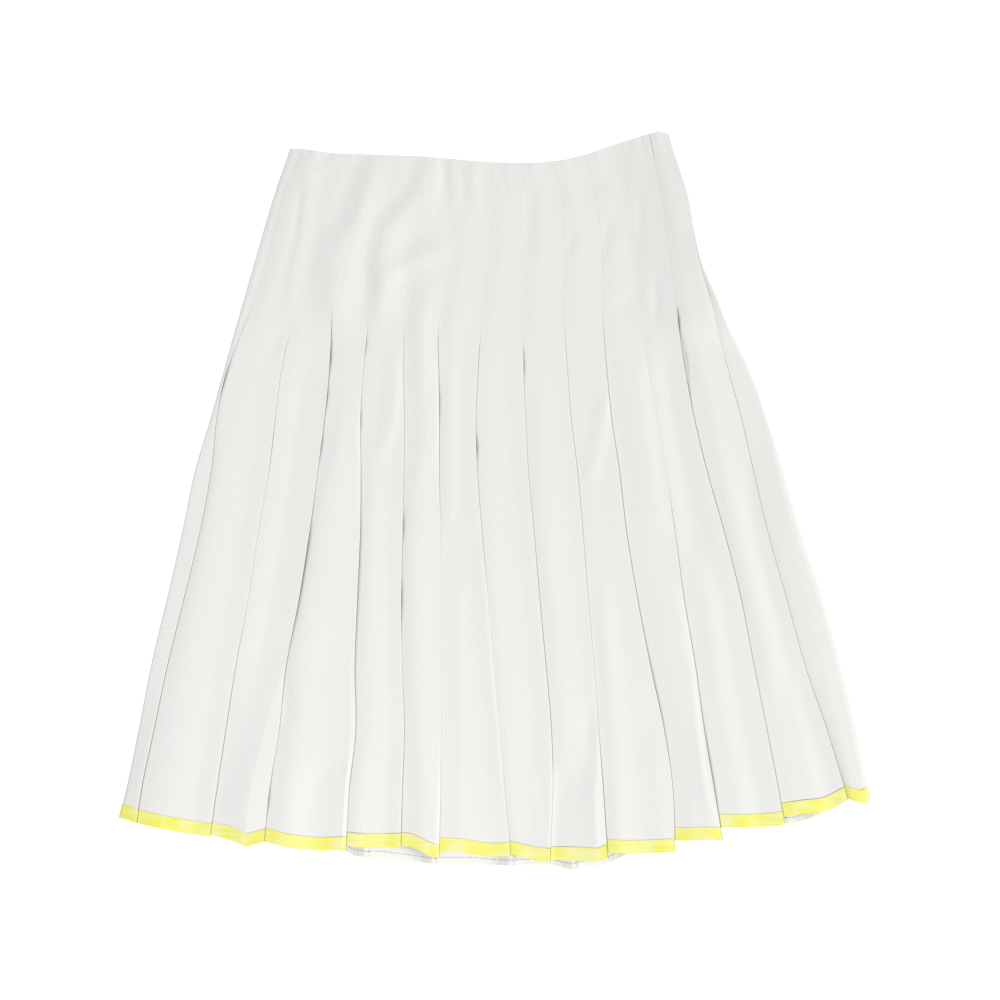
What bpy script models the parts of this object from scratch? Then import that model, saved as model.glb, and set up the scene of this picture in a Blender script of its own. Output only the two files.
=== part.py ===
"""A pleated midi skirt, laid flat with its front up.

The skirt is a tube of two pleated cloths, a front and a back, which meet at the two sides. Each
cloth is one wall that is folded into knife pleats: a panel runs to the right as far as its fold,
turns under it, runs back as the return, turns again in a tuck, and comes out as the next panel.
The pleats are sewn down from the waist to the release line and hang free below it. A ribbon lies
on the outer face along each hem.

The flat shape is measured on a laying-out sheet in millimetres: "across" runs to the right and
"down" runs from the waist to the hem. In the model x runs to the right, y runs up the skirt and z
points up from the surface that the back lies on.
"""

from collections import namedtuple

import bmesh
import bpy

MILLIMETRE = 0.001

# Cloth, in millimetres.
WALL = 1.0
GAP = 0.3
RIBBON_WALL = 1.0
RIBBON_WIDTH = 13.4
PITCH = WALL + GAP + 0.05                       # middle to middle of two walls that touch
RIBBON_OUT = WALL / 2 + GAP + RIBBON_WALL / 2   # middle of the wall to the middle of the ribbon
RIBBONED_PITCH = 2 * (RIBBON_OUT + RIBBON_WALL / 2) + GAP + 0.2
BETWEEN_CLOTHS = WALL + 0.4
SIDE_BETWEEN_CLOTHS = 3.2                       # the same at the sides, where no pleats lie inside

# The laying-out sheet, in millimetres.
SHEET_CENTRE = (495.2, 499.5)
RELEASE = 330.0                                 # where the sewn-down part of the pleats ends
STATIONS = (150, 200, 260, 300, 330, 375, 420, 470, 530, 600, 665, 730, 790, 850)
BACK_STATIONS = (150, 330, 850)
OPENING_STARTS, OPENING_ENDS = 400.0, 770.0     # the folds stand open more and more between these
HEM_ARC_ENDS, HEM_ARC_LOWEST = ((117, 812), (873, 795)), (510, 866)
RIBBON_RISE_STARTS, RIBBON_RISE_ENDS = 125.0, 35.0   # above the hem, the back lifts over its ribbon

# The width over which the front comes down to its sides: down, and the width at left and at right.
SIDE_SLOPES = ((150, 15, 15), (330, 16, 26.5), (600, 34, 56), (850, 45, 50))

# The cloths turn over at the sides in steps, each this far inwards from the side's edge. The back's
# steps are short of its panel's height, the front's left ones have a share of that height, and the
# front's right ones lie out from the inside of the skirt.
BACK_TURN = ((0.5, 0.9), (1.0, 0.3), (2.2, 0.0))
FRONT_LEFT_TURN = ((0.5, 0.4), (1.8, 0.85))
FRONT_RIGHT_TURN = ((2.2, 0.0), (1.0, -0.3), (0.5, -0.9))
SEAM_INWARDS = 0.5
SEAM_SHORT = SIDE_BETWEEN_CLOTHS / 2 - GAP / 2

# Rows of the wall, as shares of the way from the waist to the release and from there to the ribbon.
FRONT_ROWS = ((0.0, 0.5), (0.0, 0.16, 0.36, 0.58, 0.8, 0.93, 1.0))
BACK_ROWS = ((0.0,), (0.0, 0.22, 0.46, 0.7, 0.87, 1.0))

# The waist edge of the front, from its left corner to its right one: across, down.
WAIST_EDGE = (
    (287, 148), (304, 148.5), (335, 153), (368, 154), (426, 156), (457, 159), (493, 162),
    (520, 162.5), (541, 162), (564, 159), (587, 154), (607, 147), (630, 140), (647, 135),
    (663, 131), (669, 133), (674, 146),
)
BACK_WAIST_DROP = 2.0

# The hem of the back, which shows below the front's in places: across, down.
BACK_HEM = (
    (105, 810), (200, 829), (300, 845), (358, 857), (430, 863.5), (496, 866), (544, 865),
    (563, 869.5), (600, 864.5), (623, 854), (676, 838), (721, 825), (784, 823.5), (797, 823.5),
    (828, 812), (847, 801), (890, 789),
)

# A side or a fold: how far across it lies at each station down the sheet.
LEFT_SIDE = (288, 271.5, 254.5, 243, 234.5, 222, 209, 194.5, 182, 166, 150, 137.5, 125.5, 108)
RIGHT_SIDE = (673, 687.5, 702.5, 718.5, 731, 752.5, 768, 784, 801, 823.5, 841, 857, 870.5, 888)

# A pleat: its fold across the sheet at each station, how deep its tuck goes at the yoke and at the
# hem, and the crest beside its fold, where the panel stands up: how wide that is at the hem, how
# high, and how far down it starts.
Pleat = namedtuple("Pleat", "across depth_yoke depth_hem crest_wide crest_high crest_from",
                   defaults=(9, 18, 0, 0, 600))
FRONT_PLEATS = (
    Pleat((303, 283, 268.5, 255, 243, 230.5, 218.5, 209.5, 199.5, 183, 167, 153.5, 141, 133),
          depth_yoke=3, depth_hem=7),
    Pleat((336, 320.5, 309.5, 298.5, 289.5, 280, 274.5, 268, 258, 247.5, 236, 226, 216.5, 208)),
    Pleat((368.5, 355, 339.5, 332.5, 331, 328.5, 324, 317.5, 309, 298, 286.5, 279, 270, 263),
          crest_wide=17, crest_high=4.5, crest_from=655),
    Pleat((398, 388.5, 376.5, 370.5, 367, 362.5, 360, 360.5, 360, 357, 354.5, 355, 349, 345.5),
          crest_wide=3, crest_high=1, crest_from=680),
    Pleat((428, 421, 413, 406.5, 404, 403, 404, 403.5, 402.5, 401, 402, 404, 402, 400)),
    Pleat((457, 457, 452, 444, 438, 438.5, 439, 439, 440, 441, 441, 441, 440.5, 438.5),
          depth_hem=14),
    Pleat((491.5, 493, 490, 485, 480.5, 477.5, 476, 477, 481.5, 488, 493.5, 499.5, 504.5, 509)),
    Pleat((520, 527.5, 528, 525.5, 523.5, 523.5, 525.5, 528, 533.5, 539.5, 545.5, 551, 552.5, 550),
          depth_hem=14),
    Pleat((550, 563, 565.5, 564, 564.5, 567.5, 571, 577, 582.5, 588, 593.5, 598.5, 603, 607.5),
          crest_wide=11, crest_high=3, crest_from=720),
    Pleat((585.5, 597, 603, 603.5, 603.5, 607, 611.5, 619, 626, 637.5, 650, 664, 672, 674.5)),
    Pleat((623, 631.5, 638, 639.5, 641, 649, 657, 665.5, 674.5, 684, 694.5, 704, 714, 723),
          depth_hem=16, crest_wide=4.5, crest_high=1.5, crest_from=640),
    Pleat((652.5, 663, 670.5, 675.5, 678.5, 686, 694.5, 706.5, 723.5, 740.5, 754, 766.5, 778, 789.5)),
    Pleat((674, 688.5, 699, 710, 717.5, 729.5, 741, 753, 767.5, 786.5, 805, 826, 844.5, 862)),
)

# The back's pleats turn the other way on the sheet, because all of them run one way round the body.
BACK_PLEATS = (
    Pleat((318, 274, 168)),
    Pleat((347, 310, 228)),
    Pleat((377, 347, 290)),
    Pleat((406, 385, 353)),
    Pleat((436, 424, 420)),
    Pleat((465, 463, 497)),
    Pleat((495, 501, 559)),
    Pleat((524, 538, 616)),
    Pleat((553, 575, 672)),
    Pleat((581, 611, 725)),
    Pleat((609, 646, 778)),
    Pleat((636, 680, 812)),
)

# A panel's hem: how far down it lies at the panel's left edge, middle, crest and fold.
Hem = namedtuple("Hem", "left middle crest fold")
FRONT_HEMS = (
    Hem(817, 820, 823, 823),
    Hem(823.5, 831, 836, 836),
    Hem(835.5, 838, 846, 841),
    Hem(841, 849, 849, 849),
    Hem(845, 846, 846.5, 846.5),
    Hem(846, 850, 858, 858),
    Hem(851, 855, 854, 854),
    Hem(854, 860, 861, 861),
    Hem(860, 860, 861, 857),
    Hem(853, 852.5, 851.5, 851.5),
    Hem(840.5, 840.5, 840, 840),
    Hem(827, 827, 824.5, 824.5),
    Hem(816, 810.5, 799, 799),
    Hem(798.5, 801.5, 797.5, 797.5),
)
HEM_MEASURED = 825.0                            # how far down the panels' shares are taken

# Where a pleat's points lie beside its fold, in millimetres.
SHOULDER_PAST_TUCK = 2.0
CREST_SHARE = 0.35                              # of the depth, where a panel has no wider crest
EMERGE = 2.0
FRONT_RISE = 0.55                               # of a panel's height, half way to its next shoulder
BACK_RISE = 8.0                                 # the back's panels are down on the surface by here
BACK_HEM_STEP = 30.0

# Where the hidden points of a pleat's hem lie, as shares of the way to the next panel's hem.
UNDER_FOLD, UNDER_TUCK, TUCK_TIP, OVER_TUCK = 0.05, 0.45, 0.5, 0.55

# Colour, roughness and metallic value of each finish.
WHITE_CREPE = ((0.84, 0.85, 0.81, 1.0), 0.85, 0.0)
YELLOW_RIBBON = ((0.92, 0.90, 0.16, 1.0), 0.55, 0.0)

# A column of the wall runs from the waist to the hem: how far across it lies and how far out from
# the inside of the skirt, both as functions of how far down, and where its hem is.
Column = namedtuple("Column", "across out hem")


def share(value, start, end):
    """How far a value is from start to end, held between 0 and 1."""
    return min(max((value - start) / (end - start), 0.0), 1.0)


def straight_through(points):
    """A function that joins the points with straight lines and carries the end ones on."""
    def value_at(position):
        for (start, low), (end, high) in zip(points, points[1:]):
            if position <= end:
                break
        return low + (high - low) * (position - start) / (end - start)
    return value_at


def smooth_through(positions, values):
    """A function that joins the values with one smooth curve."""
    last = len(positions) - 1

    def slope(index):
        before, after = max(index - 1, 0), min(index + 1, last)
        return (values[after] - values[before]) / (positions[after] - positions[before])

    def value_at(position):
        index = max(i for i in range(last) if i == 0 or positions[i] <= position)
        span = positions[index + 1] - positions[index]
        t = (position - positions[index]) / span
        low, high = values[index], values[index + 1]
        into, out_of = slope(index) * span, slope(index + 1) * span
        return (low + into * t + (3 * (high - low) - 2 * into - out_of) * t ** 2
                + (2 * (low - high) + into + out_of) * t ** 3)
    return value_at


waist_down = straight_through(WAIST_EDGE)
back_hem_down = straight_through(BACK_HEM)
left_side = smooth_through(STATIONS, LEFT_SIDE)
right_side = smooth_through(STATIONS, RIGHT_SIDE)
left_slope = straight_through([(down, left) for down, left, right in SIDE_SLOPES])
right_slope = straight_through([(down, right) for down, left, right in SIDE_SLOPES])


def return_out(down):
    """How far out the middle of a return lies from the middle of the tucks under it."""
    return PITCH + (RIBBONED_PITCH - PITCH) * share(down, OPENING_STARTS, OPENING_ENDS)


def panel_out(down):
    """How far out a panel lies where it is over its own return."""
    return return_out(down) + PITCH


def ribbon_lift(across, down):
    """How far the back is lifted off the surface, near its hem, by the ribbon under it."""
    lowest_across, lowest_down = HEM_ARC_LOWEST
    end_across, end_down = HEM_ARC_ENDS[0 if across < lowest_across else 1]
    arc = lowest_down - (lowest_down - end_down) * (
        (across - lowest_across) / (end_across - lowest_across)) ** 2
    lift = RIBBON_OUT + RIBBON_WALL / 2 - WALL / 2
    return lift * share(down, arc - RIBBON_RISE_STARTS, arc - RIBBON_RISE_ENDS)


def back_height(across, down, out):
    """The height of a point of the back, whose outer face lies on the surface."""
    return WALL / 2 + ribbon_lift(across, down) + panel_out(down) - out


def front_height(across, down, out):
    """The height of a point of the front, which lies on the back and comes down at the sides."""
    into_left = (across - left_side(down)) / left_slope(down)
    into_right = (right_side(down) - across) / right_slope(down)
    beside = 1.0 - share(min(into_left, into_right), 0.0, 1.0)
    drop = (panel_out(down) + BETWEEN_CLOTHS - SIDE_BETWEEN_CLOTHS) * beside
    return back_height(across, down, 0.0) + BETWEEN_CLOTHS - drop + out


def tuck_depth(pleat, down):
    """How far in from its fold a pleat's tuck reaches."""
    return pleat.depth_yoke + (pleat.depth_hem - pleat.depth_yoke) * share(
        down, RELEASE, OPENING_ENDS)


def panel_hem(hem, left_edge, crest_edge):
    """A panel's hem as a function of how far across it is."""
    middle = (left_edge + crest_edge) / 2
    return straight_through(((left_edge, hem.left), (middle, hem.middle), (crest_edge, hem.crest)))


def pleat_columns(pleat, fold, before, after, hem, next_hem, rises_at):
    """The columns of one pleat, from its panel's shoulder to where the next panel has risen.

    fold, before and after give the fold's own line and its neighbours', and rises_at gives where
    the next panel has risen, with the share of its full height that it has there.
    """
    def depth(down):
        return tuck_depth(pleat, down)

    def standing(down):
        return share(down, pleat.crest_from, max(STATIONS))

    def crest_wide(down):
        return max(pleat.crest_wide * standing(down), CREST_SHARE * depth(down))

    def tuck_round(down):
        return return_out(down) / 2

    fold_round = PITCH / 2
    crest_edge = fold(HEM_MEASURED) - crest_wide(HEM_MEASURED)
    hem_at = panel_hem(hem, before(HEM_MEASURED), crest_edge)
    shoulder_edge = fold(HEM_MEASURED) - depth(HEM_MEASURED) - SHOULDER_PAST_TUCK
    hidden = straight_through(((0.0, hem.fold), (1.0, next_hem.left)))

    def rise_across(down):
        return rises_at(down, fold, after, depth)[0]

    def rise_out(down):
        return panel_out(down) * rises_at(down, fold, after, depth)[1]

    return [
        Column(lambda d: fold(d) - depth(d) - SHOULDER_PAST_TUCK, panel_out, hem_at(shoulder_edge)),
        Column(lambda d: fold(d) - crest_wide(d),
               lambda d: panel_out(d) + pleat.crest_high * standing(d), hem.crest),
        Column(lambda d: fold(d) - fold_round, panel_out, hem.fold),
        Column(fold, lambda d: panel_out(d) - fold_round, hem.fold),
        Column(lambda d: fold(d) - fold_round, return_out, hidden(UNDER_FOLD)),
        Column(lambda d: fold(d) - depth(d) + tuck_round(d), return_out, hidden(UNDER_TUCK)),
        Column(lambda d: fold(d) - depth(d), tuck_round, hidden(TUCK_TIP)),
        Column(lambda d: fold(d) - depth(d) + tuck_round(d), lambda d: 0.0, hidden(OVER_TUCK)),
        Column(lambda d: fold(d) + EMERGE, lambda d: 0.0, next_hem.left),
        Column(rise_across, rise_out, next_hem.middle),
    ]


def front_rise(down, fold, after, depth):
    """The front's panels rise slowly, over all the way to their next shoulder."""
    shoulder = after(down) - depth(down) - SHOULDER_PAST_TUCK
    return (fold(down) + EMERGE + shoulder) / 2, FRONT_RISE


def back_rise(down, fold, after, depth):
    """The back's panels are flat on the surface a little way past the fold they come out of."""
    return fold(down) + BACK_RISE, 1.0


def front_columns():
    """The columns of the front, from its left side to its right one."""
    lines = [left_side] + [smooth_through(STATIONS, pleat.across) for pleat in FRONT_PLEATS]
    lines.append(right_side)
    first, last = FRONT_HEMS[0], FRONT_HEMS[-1]

    def left_column(inwards, out):
        return Column(lambda d: left_side(d) + inwards, out, first.left)

    def left_turn(inwards, part):
        return left_column(inwards, lambda d: part * panel_out(d))

    def right_column(inwards, out):
        return Column(lambda d: right_side(d) - inwards, lambda d: out, last.fold)

    columns = [left_column(SEAM_INWARDS, lambda d: -SEAM_SHORT)]
    columns += [left_turn(inwards, part) for inwards, part in FRONT_LEFT_TURN]
    for number, pleat in enumerate(FRONT_PLEATS):
        columns += pleat_columns(pleat, lines[number + 1], lines[number], lines[number + 2],
                                 FRONT_HEMS[number], FRONT_HEMS[number + 1], front_rise)
    del columns[-2:]                            # the last panel stays low and ends at the side
    last_tuck = columns[-1].across
    columns.append(Column(lambda d: (last_tuck(d) + right_side(d)) / 2, lambda d: 0.0, last.left))
    columns += [right_column(inwards, out) for inwards, out in FRONT_RIGHT_TURN]
    columns.append(right_column(SEAM_INWARDS, -SEAM_SHORT))
    return columns


def back_columns():
    """The columns of the back, seen from outside: from the sheet's right side to its left one."""
    def mirrored(line):
        return lambda down: -line(down)

    lines = [mirrored(right_side)]
    lines += [mirrored(smooth_through(BACK_STATIONS, pleat.across)) for pleat in BACK_PLEATS[::-1]]
    lines.append(mirrored(left_side))

    def hem_near(line, offset):
        return back_hem_down(-(line(HEM_MEASURED) + offset))

    def side_column(line, inwards, short_of_panel):
        """A column beside a side; inwards runs from the side into the cloth."""
        return Column(lambda d: line(d) + inwards, lambda d: panel_out(d) - short_of_panel,
                      hem_near(line, inwards))

    first, last = lines[0], lines[-1]
    columns = [side_column(first, SEAM_INWARDS, SEAM_SHORT)]
    columns += [side_column(first, inwards, short) for inwards, short in BACK_TURN]
    for number, pleat in enumerate(BACK_PLEATS[::-1]):
        fold, before, after = lines[number + 1], lines[number], lines[number + 2]
        here = Hem(hem_near(before, 0), hem_near(before, BACK_HEM_STEP), hem_near(fold, 0),
                   hem_near(fold, 0))
        following = Hem(hem_near(fold, 0), hem_near(fold, BACK_RISE), 0, 0)
        columns += pleat_columns(pleat, fold, before, after, here, following, back_rise)
    columns += [side_column(last, -inwards, short) for inwards, short in BACK_TURN[::-1]]
    columns.append(side_column(last, -SEAM_INWARDS, SEAM_SHORT))
    return [Column(mirrored(column.across), column.out, column.hem) for column in columns]


def wall_rows(columns, shares, waist_drop, height):
    """The points of a wall's middle, a list for each row from the waist to the hem."""
    yoke_shares, skirt_shares = shares
    rows = [[] for _ in range(len(yoke_shares) + len(skirt_shares) + 1)]
    for column in columns:
        waist = waist_down(column.across(STATIONS[0])) + waist_drop
        ribbon_top = column.hem - RIBBON_WIDTH
        downs = [waist + (RELEASE - waist) * t for t in yoke_shares]
        downs += [RELEASE + (ribbon_top - RELEASE) * t for t in skirt_shares]
        downs.append(column.hem)
        for row, down in zip(rows, downs):
            across = column.across(down)
            row.append((across, down, height(across, down, column.out(down))))
    return rows


def moved_out(row, distance, outwards):
    """A row's points moved out from the cloth; outwards is 1 for the front and -1 for the back."""
    moved = []
    for index, (across, down, height) in enumerate(row):
        normals = []
        for start, end in ((index - 1, index), (index, index + 1)):
            if start < 0 or end >= len(row):
                continue
            run, climb = row[end][0] - row[start][0], row[end][2] - row[start][2]
            length = (run ** 2 + climb ** 2) ** 0.5
            normals.append((-climb / length, run / length))
        out_across = sum(normal[0] for normal in normals) / len(normals)
        out_height = sum(normal[1] for normal in normals) / len(normals)
        reach = outwards * distance / (out_across ** 2 + out_height ** 2)
        moved.append((across + out_across * reach, down, height + out_height * reach))
    return moved


def finish(name, colour, roughness, metallic):
    """A plain material for one piece."""
    material = bpy.data.materials.new(name)
    material.use_nodes = True
    shader = material.node_tree.nodes["Principled BSDF"]
    shader.inputs["Base Color"].default_value = colour
    shader.inputs["Roughness"].default_value = roughness
    shader.inputs["Metallic"].default_value = metallic
    return material


def wall_object(name, rows, thickness, look, collection):
    """A wall of even thickness whose middle passes through the rows of points."""
    shape = bmesh.new()
    bmesh.ops.create_grid(shape, x_segments=len(rows[0]) - 1, y_segments=len(rows) - 1, size=1.0)
    shape.verts.ensure_lookup_table()
    points = [point for row in rows[::-1] for point in row]
    for vertex, (across, down, height) in zip(shape.verts, points):
        vertex.co = ((across - SHEET_CENTRE[0]) * MILLIMETRE,
                     (SHEET_CENTRE[1] - down) * MILLIMETRE, height * MILLIMETRE)
    bmesh.ops.recalc_face_normals(shape, faces=shape.faces)
    mesh = bpy.data.meshes.new(name)
    shape.to_mesh(mesh)
    shape.free()
    mesh.shade_smooth()
    mesh.set_sharp_from_angle(angle=0.6)
    mesh.materials.append(finish(name, *look))
    wall = bpy.data.objects.new(name, mesh)
    collection.objects.link(wall)
    solid = wall.modifiers.new("Cloth", "SOLIDIFY")
    solid.thickness = thickness * MILLIMETRE
    solid.offset = 0.0
    solid.use_even_offset = True
    solid.use_quality_normals = True
    return wall


def build_skirt():
    """The front, the back, and the ribbon along each hem."""
    collection = bpy.data.collections.new("pleated_midi_skirt")
    bpy.context.scene.collection.children.link(collection)
    cloths = (
        ("front", front_columns(), FRONT_ROWS, 0.0, front_height, 1),
        ("back", back_columns(), BACK_ROWS, BACK_WAIST_DROP, back_height, -1),
    )
    for name, columns, shares, waist_drop, height, outwards in cloths:
        rows = wall_rows(columns, shares, waist_drop, height)
        if outwards < 0:
            rows = [row[::-1] for row in rows]
        wall_object(name + "_panel", rows, WALL, WHITE_CREPE, collection)
        ribbon = [moved_out(row, RIBBON_OUT, outwards) for row in rows[-2:]]
        wall_object(name + "_hem_ribbon", ribbon, RIBBON_WALL, YELLOW_RIBBON, collection)


def main():
    for old in list(bpy.data.objects):
        bpy.data.objects.remove(old, do_unlink=True)
    build_skirt()


if __name__ == "__main__":
    main()
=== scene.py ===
"""A pleated midi skirt laid flat with its front up, in white crepe with a yellow ribbon along the hem.

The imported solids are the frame. Each cloth here is a thin shell in the outer part of its solid: it has
the same folds at the same places, with the cloth's real thickness, the soft creases between the folds,
the gaps where folds stand open, the ribbon, and the stitches.

Lengths on the laying-out sheet are millimetres: "across" runs to the right and "down" runs from the
waist to the hem. In the model x runs to the right, y up the skirt and z up from the surface.
"""

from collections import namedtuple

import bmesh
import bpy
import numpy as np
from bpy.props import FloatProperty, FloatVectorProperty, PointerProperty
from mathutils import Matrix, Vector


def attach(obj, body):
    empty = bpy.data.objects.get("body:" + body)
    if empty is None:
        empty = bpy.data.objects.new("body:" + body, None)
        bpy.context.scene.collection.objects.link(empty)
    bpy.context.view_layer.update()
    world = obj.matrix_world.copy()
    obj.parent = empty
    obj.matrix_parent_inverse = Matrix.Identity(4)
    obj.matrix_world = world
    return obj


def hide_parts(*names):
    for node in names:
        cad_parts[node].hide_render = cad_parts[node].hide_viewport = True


bl_info = {
    "name": "Pleated midi skirt",
    "version": (1, 0, 0),
    "blender": (4, 5, 0),
    "location": "3D View > Sidebar > Skirt",
    "description": "Lays out a white pleated skirt with a yellow ribbon along its hem",
    "category": "Mesh",
}

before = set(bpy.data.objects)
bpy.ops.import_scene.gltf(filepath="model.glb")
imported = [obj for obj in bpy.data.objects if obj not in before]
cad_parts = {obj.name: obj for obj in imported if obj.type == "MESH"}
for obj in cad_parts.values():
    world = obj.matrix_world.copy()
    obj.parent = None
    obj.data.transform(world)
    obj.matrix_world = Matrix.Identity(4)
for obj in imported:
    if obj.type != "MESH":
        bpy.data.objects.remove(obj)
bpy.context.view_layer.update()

MILLIMETRE = 0.001

# The sheet: its middle, the middle of the camera's picture, how far down the pleats are sewn, and
# how far down the folds' places are given and the panels' shares are taken.
SHEET_CENTRE, IMAGE_CENTRE = (495.2, 499.5), (500.0, 500.0)
RELEASE = 330.0
STATIONS = (150, 200, 260, 300, 330, 375, 420, 470, 530, 600, 665, 730, 790, 850)
BACK_STATIONS = (150, 330, 850)
HEM_MEASURED = 825.0

# How the solids are stacked, which puts each shell inside its own solid.
SOLID_WALL = 1.0
SOLID_PITCH, SOLID_RIBBONED_PITCH = 1.35, 4.1
BETWEEN_CLOTHS, SIDE_BETWEEN_CLOTHS = 1.4, 3.2
OPENING_STARTS, OPENING_ENDS = 400.0, 770.0     # the folds stand open more and more between these
HEM_ARC_ENDS, HEM_ARC_LOWEST = ((117, 812), (873, 795)), (510, 866)
RIBBON_RISE_STARTS, RIBBON_RISE_ENDS = 125.0, 35.0
RIBBON_LIFT = 1.3

# The width over which the front comes down to its sides: down, and the width at left and at right.
SIDE_SLOPES = ((150, 24, 24), (330, 30, 40), (600, 52, 70), (850, 70, 75))

# The distance from a layer of thin cloth to the next one in the yoke, in the skirt below it, and at
# the hem, where a tuck holds two layers of ribbon.
FOLD_IN_YOKE, FOLD_IN_SKIRT = 0.34, 0.55
TUCK_IN_YOKE, TUCK_IN_SKIRT, TUCK_AT_HEM = 0.34, 0.5, 1.15
TUCK_DEEPEST = 0.8                              # a tuck's depth at most, as a share of its panel
TUCK_TIP_SHORT = 4.0                            # how much higher its hem hangs at the tip
TUCK_TIP_LEVEL = 0.3                            # its tip, as a share of the panel's height
TUCK_MIDDLE = 0.6                               # its middle, as a share of its depth
TUCK_ROUNDED = 0.06                             # how far its cloth turns in below the fold's edge
LIP_DROOP = 0.1                                 # how much further down the edge of a fold goes
RIBBON_WIDTH = 13.4
ABOVE_RIBBON = 0.8                              # the last row of cloth above the ribbon's edge
RIBBON_CLEAR = 0.04                             # from the cloth to the ribbon's back
RIBBON_TOP_LOWER = 0.3                          # from the cloth's row to the ribbon's upper edge
RIBBON_SHADE = 3.0                              # its painted shade in a fold, as a share of the cloth's
BACK_PAST_EDGE = 1.3                            # how far the back's ribbon reaches, as a share
SHARPEST_BEND = 0.35                            # where a cloth bends more, its ribbon stays as close

# Rows of the cloth, as shares of the way from the waist to the release, from there to the ribbon's
# top, and from there to the hem.
YOKE_ROWS = np.concatenate(([0.0, 0.0015, 0.02, 0.045, 0.07], np.linspace(0.1, 1.0, 27)[:-1]))
SKIRT_ROWS = np.linspace(0.0, 1.0, 69)
RIBBON_ROWS = np.array((0.0, 0.05, 0.3, 0.6, 0.98, 1.0))
BACK_YOKE_ROWS = np.linspace(0.0, 1.0, 9)[:-1]
BACK_SKIRT_ROWS = np.linspace(0.0, 1.0, 25)
SEWN_ROWS = slice(2, len(YOKE_ROWS) + 1)        # those that the pleats' stitches follow
HEM_STITCH_ROW = -3                             # the one that the back's hem stitches follow

WAIST_EDGE = (
    (287, 148), (304, 148.5), (335, 153), (368, 154), (426, 156), (457, 159), (493, 162), (520, 162.5),
    (541, 162), (564, 159), (587, 154), (607, 147), (630, 140), (647, 135), (663, 131), (669, 132.5),
    (674, 134),
)
BACK_WAIST_DROP = 2.0
BACK_HEM = (
    (105, 810), (200, 829), (300, 845), (348, 852), (358, 857), (381, 857.5), (430, 864), (471, 863.5),
    (484, 865.5), (514, 866), (544, 865), (556, 867.5), (563, 870), (577, 867.5), (595, 866), (605, 863),
    (623, 854), (676, 838), (721, 825), (784, 823.5), (797, 823.5), (816, 817), (828, 812), (847, 801),
    (890, 789),
)

# A side or a fold: how far across it lies at each station down the sheet.
LEFT_SIDE = (289, 272, 254.5, 243, 234.5, 222, 209.5, 194.5, 182, 166, 150.5, 138, 125.5, 110)
RIGHT_SIDE = (672, 688, 701.5, 718.5, 731, 752.5, 768, 783.5, 800.5, 823.5, 841, 857, 869, 882)

# A pleat of the front: its fold at each station, and how far in its tuck goes at yoke and hem.
Pleat = namedtuple("Pleat", "across tuck_yoke tuck_hem", defaults=(9, 17))
FRONT_PLEATS = (
    Pleat((303, 283, 268.5, 254.5, 242, 225, 215.8, 210.5, 199.5, 183, 167, 153.5, 141, 133), 3, 8),
    Pleat((336, 320.5, 309.5, 298.5, 289.5, 280, 274.5, 268.5, 258, 247.5, 235.5, 225.5, 216.5, 208)),
    Pleat((368.5, 355, 339.5, 332.5, 331, 328.5, 324, 317.5, 309.5, 298.5, 286, 279, 269.5, 263.5)),
    Pleat((398, 388.5, 376.5, 370.5, 367, 362.5, 360, 360.5, 360, 357, 354.5, 355.5, 349, 346)),
    Pleat((428, 421, 413, 406.5, 404, 403, 404, 403.5, 402.5, 401, 402, 404, 402, 400.5)),
    Pleat((457, 457, 452, 444, 438, 438.5, 439, 439, 440, 441, 441, 441, 440.5, 439), 9, 14),
    Pleat((491.5, 493, 490, 485, 480.5, 477.5, 475.5, 477, 481.5, 488, 493.5, 499.5, 504.5, 510)),
    Pleat((519.5, 527.5, 528, 525.5, 523.5, 523.5, 525.5, 528, 533.5, 539.5, 545.5, 551, 552.5, 550),
          9, 14),
    Pleat((550, 563, 565.5, 564, 564.5, 567.5, 571, 577, 582.5, 588, 593.5, 598.5, 603, 607)),
    Pleat((585.5, 596.5, 603, 603.5, 603.5, 607, 611.5, 619, 626, 637.5, 650, 664, 672.5, 674.5)),
    Pleat((623, 631.5, 638, 639.5, 641, 649, 657.5, 665.5, 674.5, 684, 695, 704, 714, 724)),
    Pleat((652.5, 663, 670.5, 676, 679, 686, 694.5, 706.5, 723.5, 741, 753.5, 766.5, 778, 789)),
    Pleat((673.5, 689, 698.5, 710.5, 717.5, 729.5, 741.5, 753, 767, 786.5, 804.5, 826.5, 844.5, 861.5)),
)

# The back's pleats, at the waist, the release and the hem. They turn the other way on the sheet.
BACK_PLEATS = (
    Pleat((318, 274, 168)), Pleat((347, 310, 228)), Pleat((377, 347, 290)), Pleat((406, 385, 353)),
    Pleat((436, 424, 420)), Pleat((465, 463, 497)), Pleat((495, 501, 559)), Pleat((524, 538, 616)),
    Pleat((553, 575, 672)), Pleat((581, 611, 725)), Pleat((609, 646, 778)), Pleat((636, 680, 812)),
)
BACK_TUCK_INWARDS = (0.0, 0.25, 1.0, 9.6, 16.0, 9.6, 0.8)    # its tucks' columns, from the fold
# How much lower the back's tucks lie, and the painted shade that dims them.
BACK_TUCK_LOWER, BACK_TUCK_SHADE = 0.8, 0.15
BACK_AFTER_FOLD, BACK_BESIDE_FOLDS = 9.0, 12.0  # how wide a panel is beside one fold, and both
BACK_BETWEEN = (0.15, 0.35, 0.55, 0.75, 0.95)   # its columns between them
BACK_CLIMB = ((0.3, 0.0), (1.5, 0.12), (4.0, 0.6), (8.0, 1.0))    # and those that climb from a fold

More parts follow.
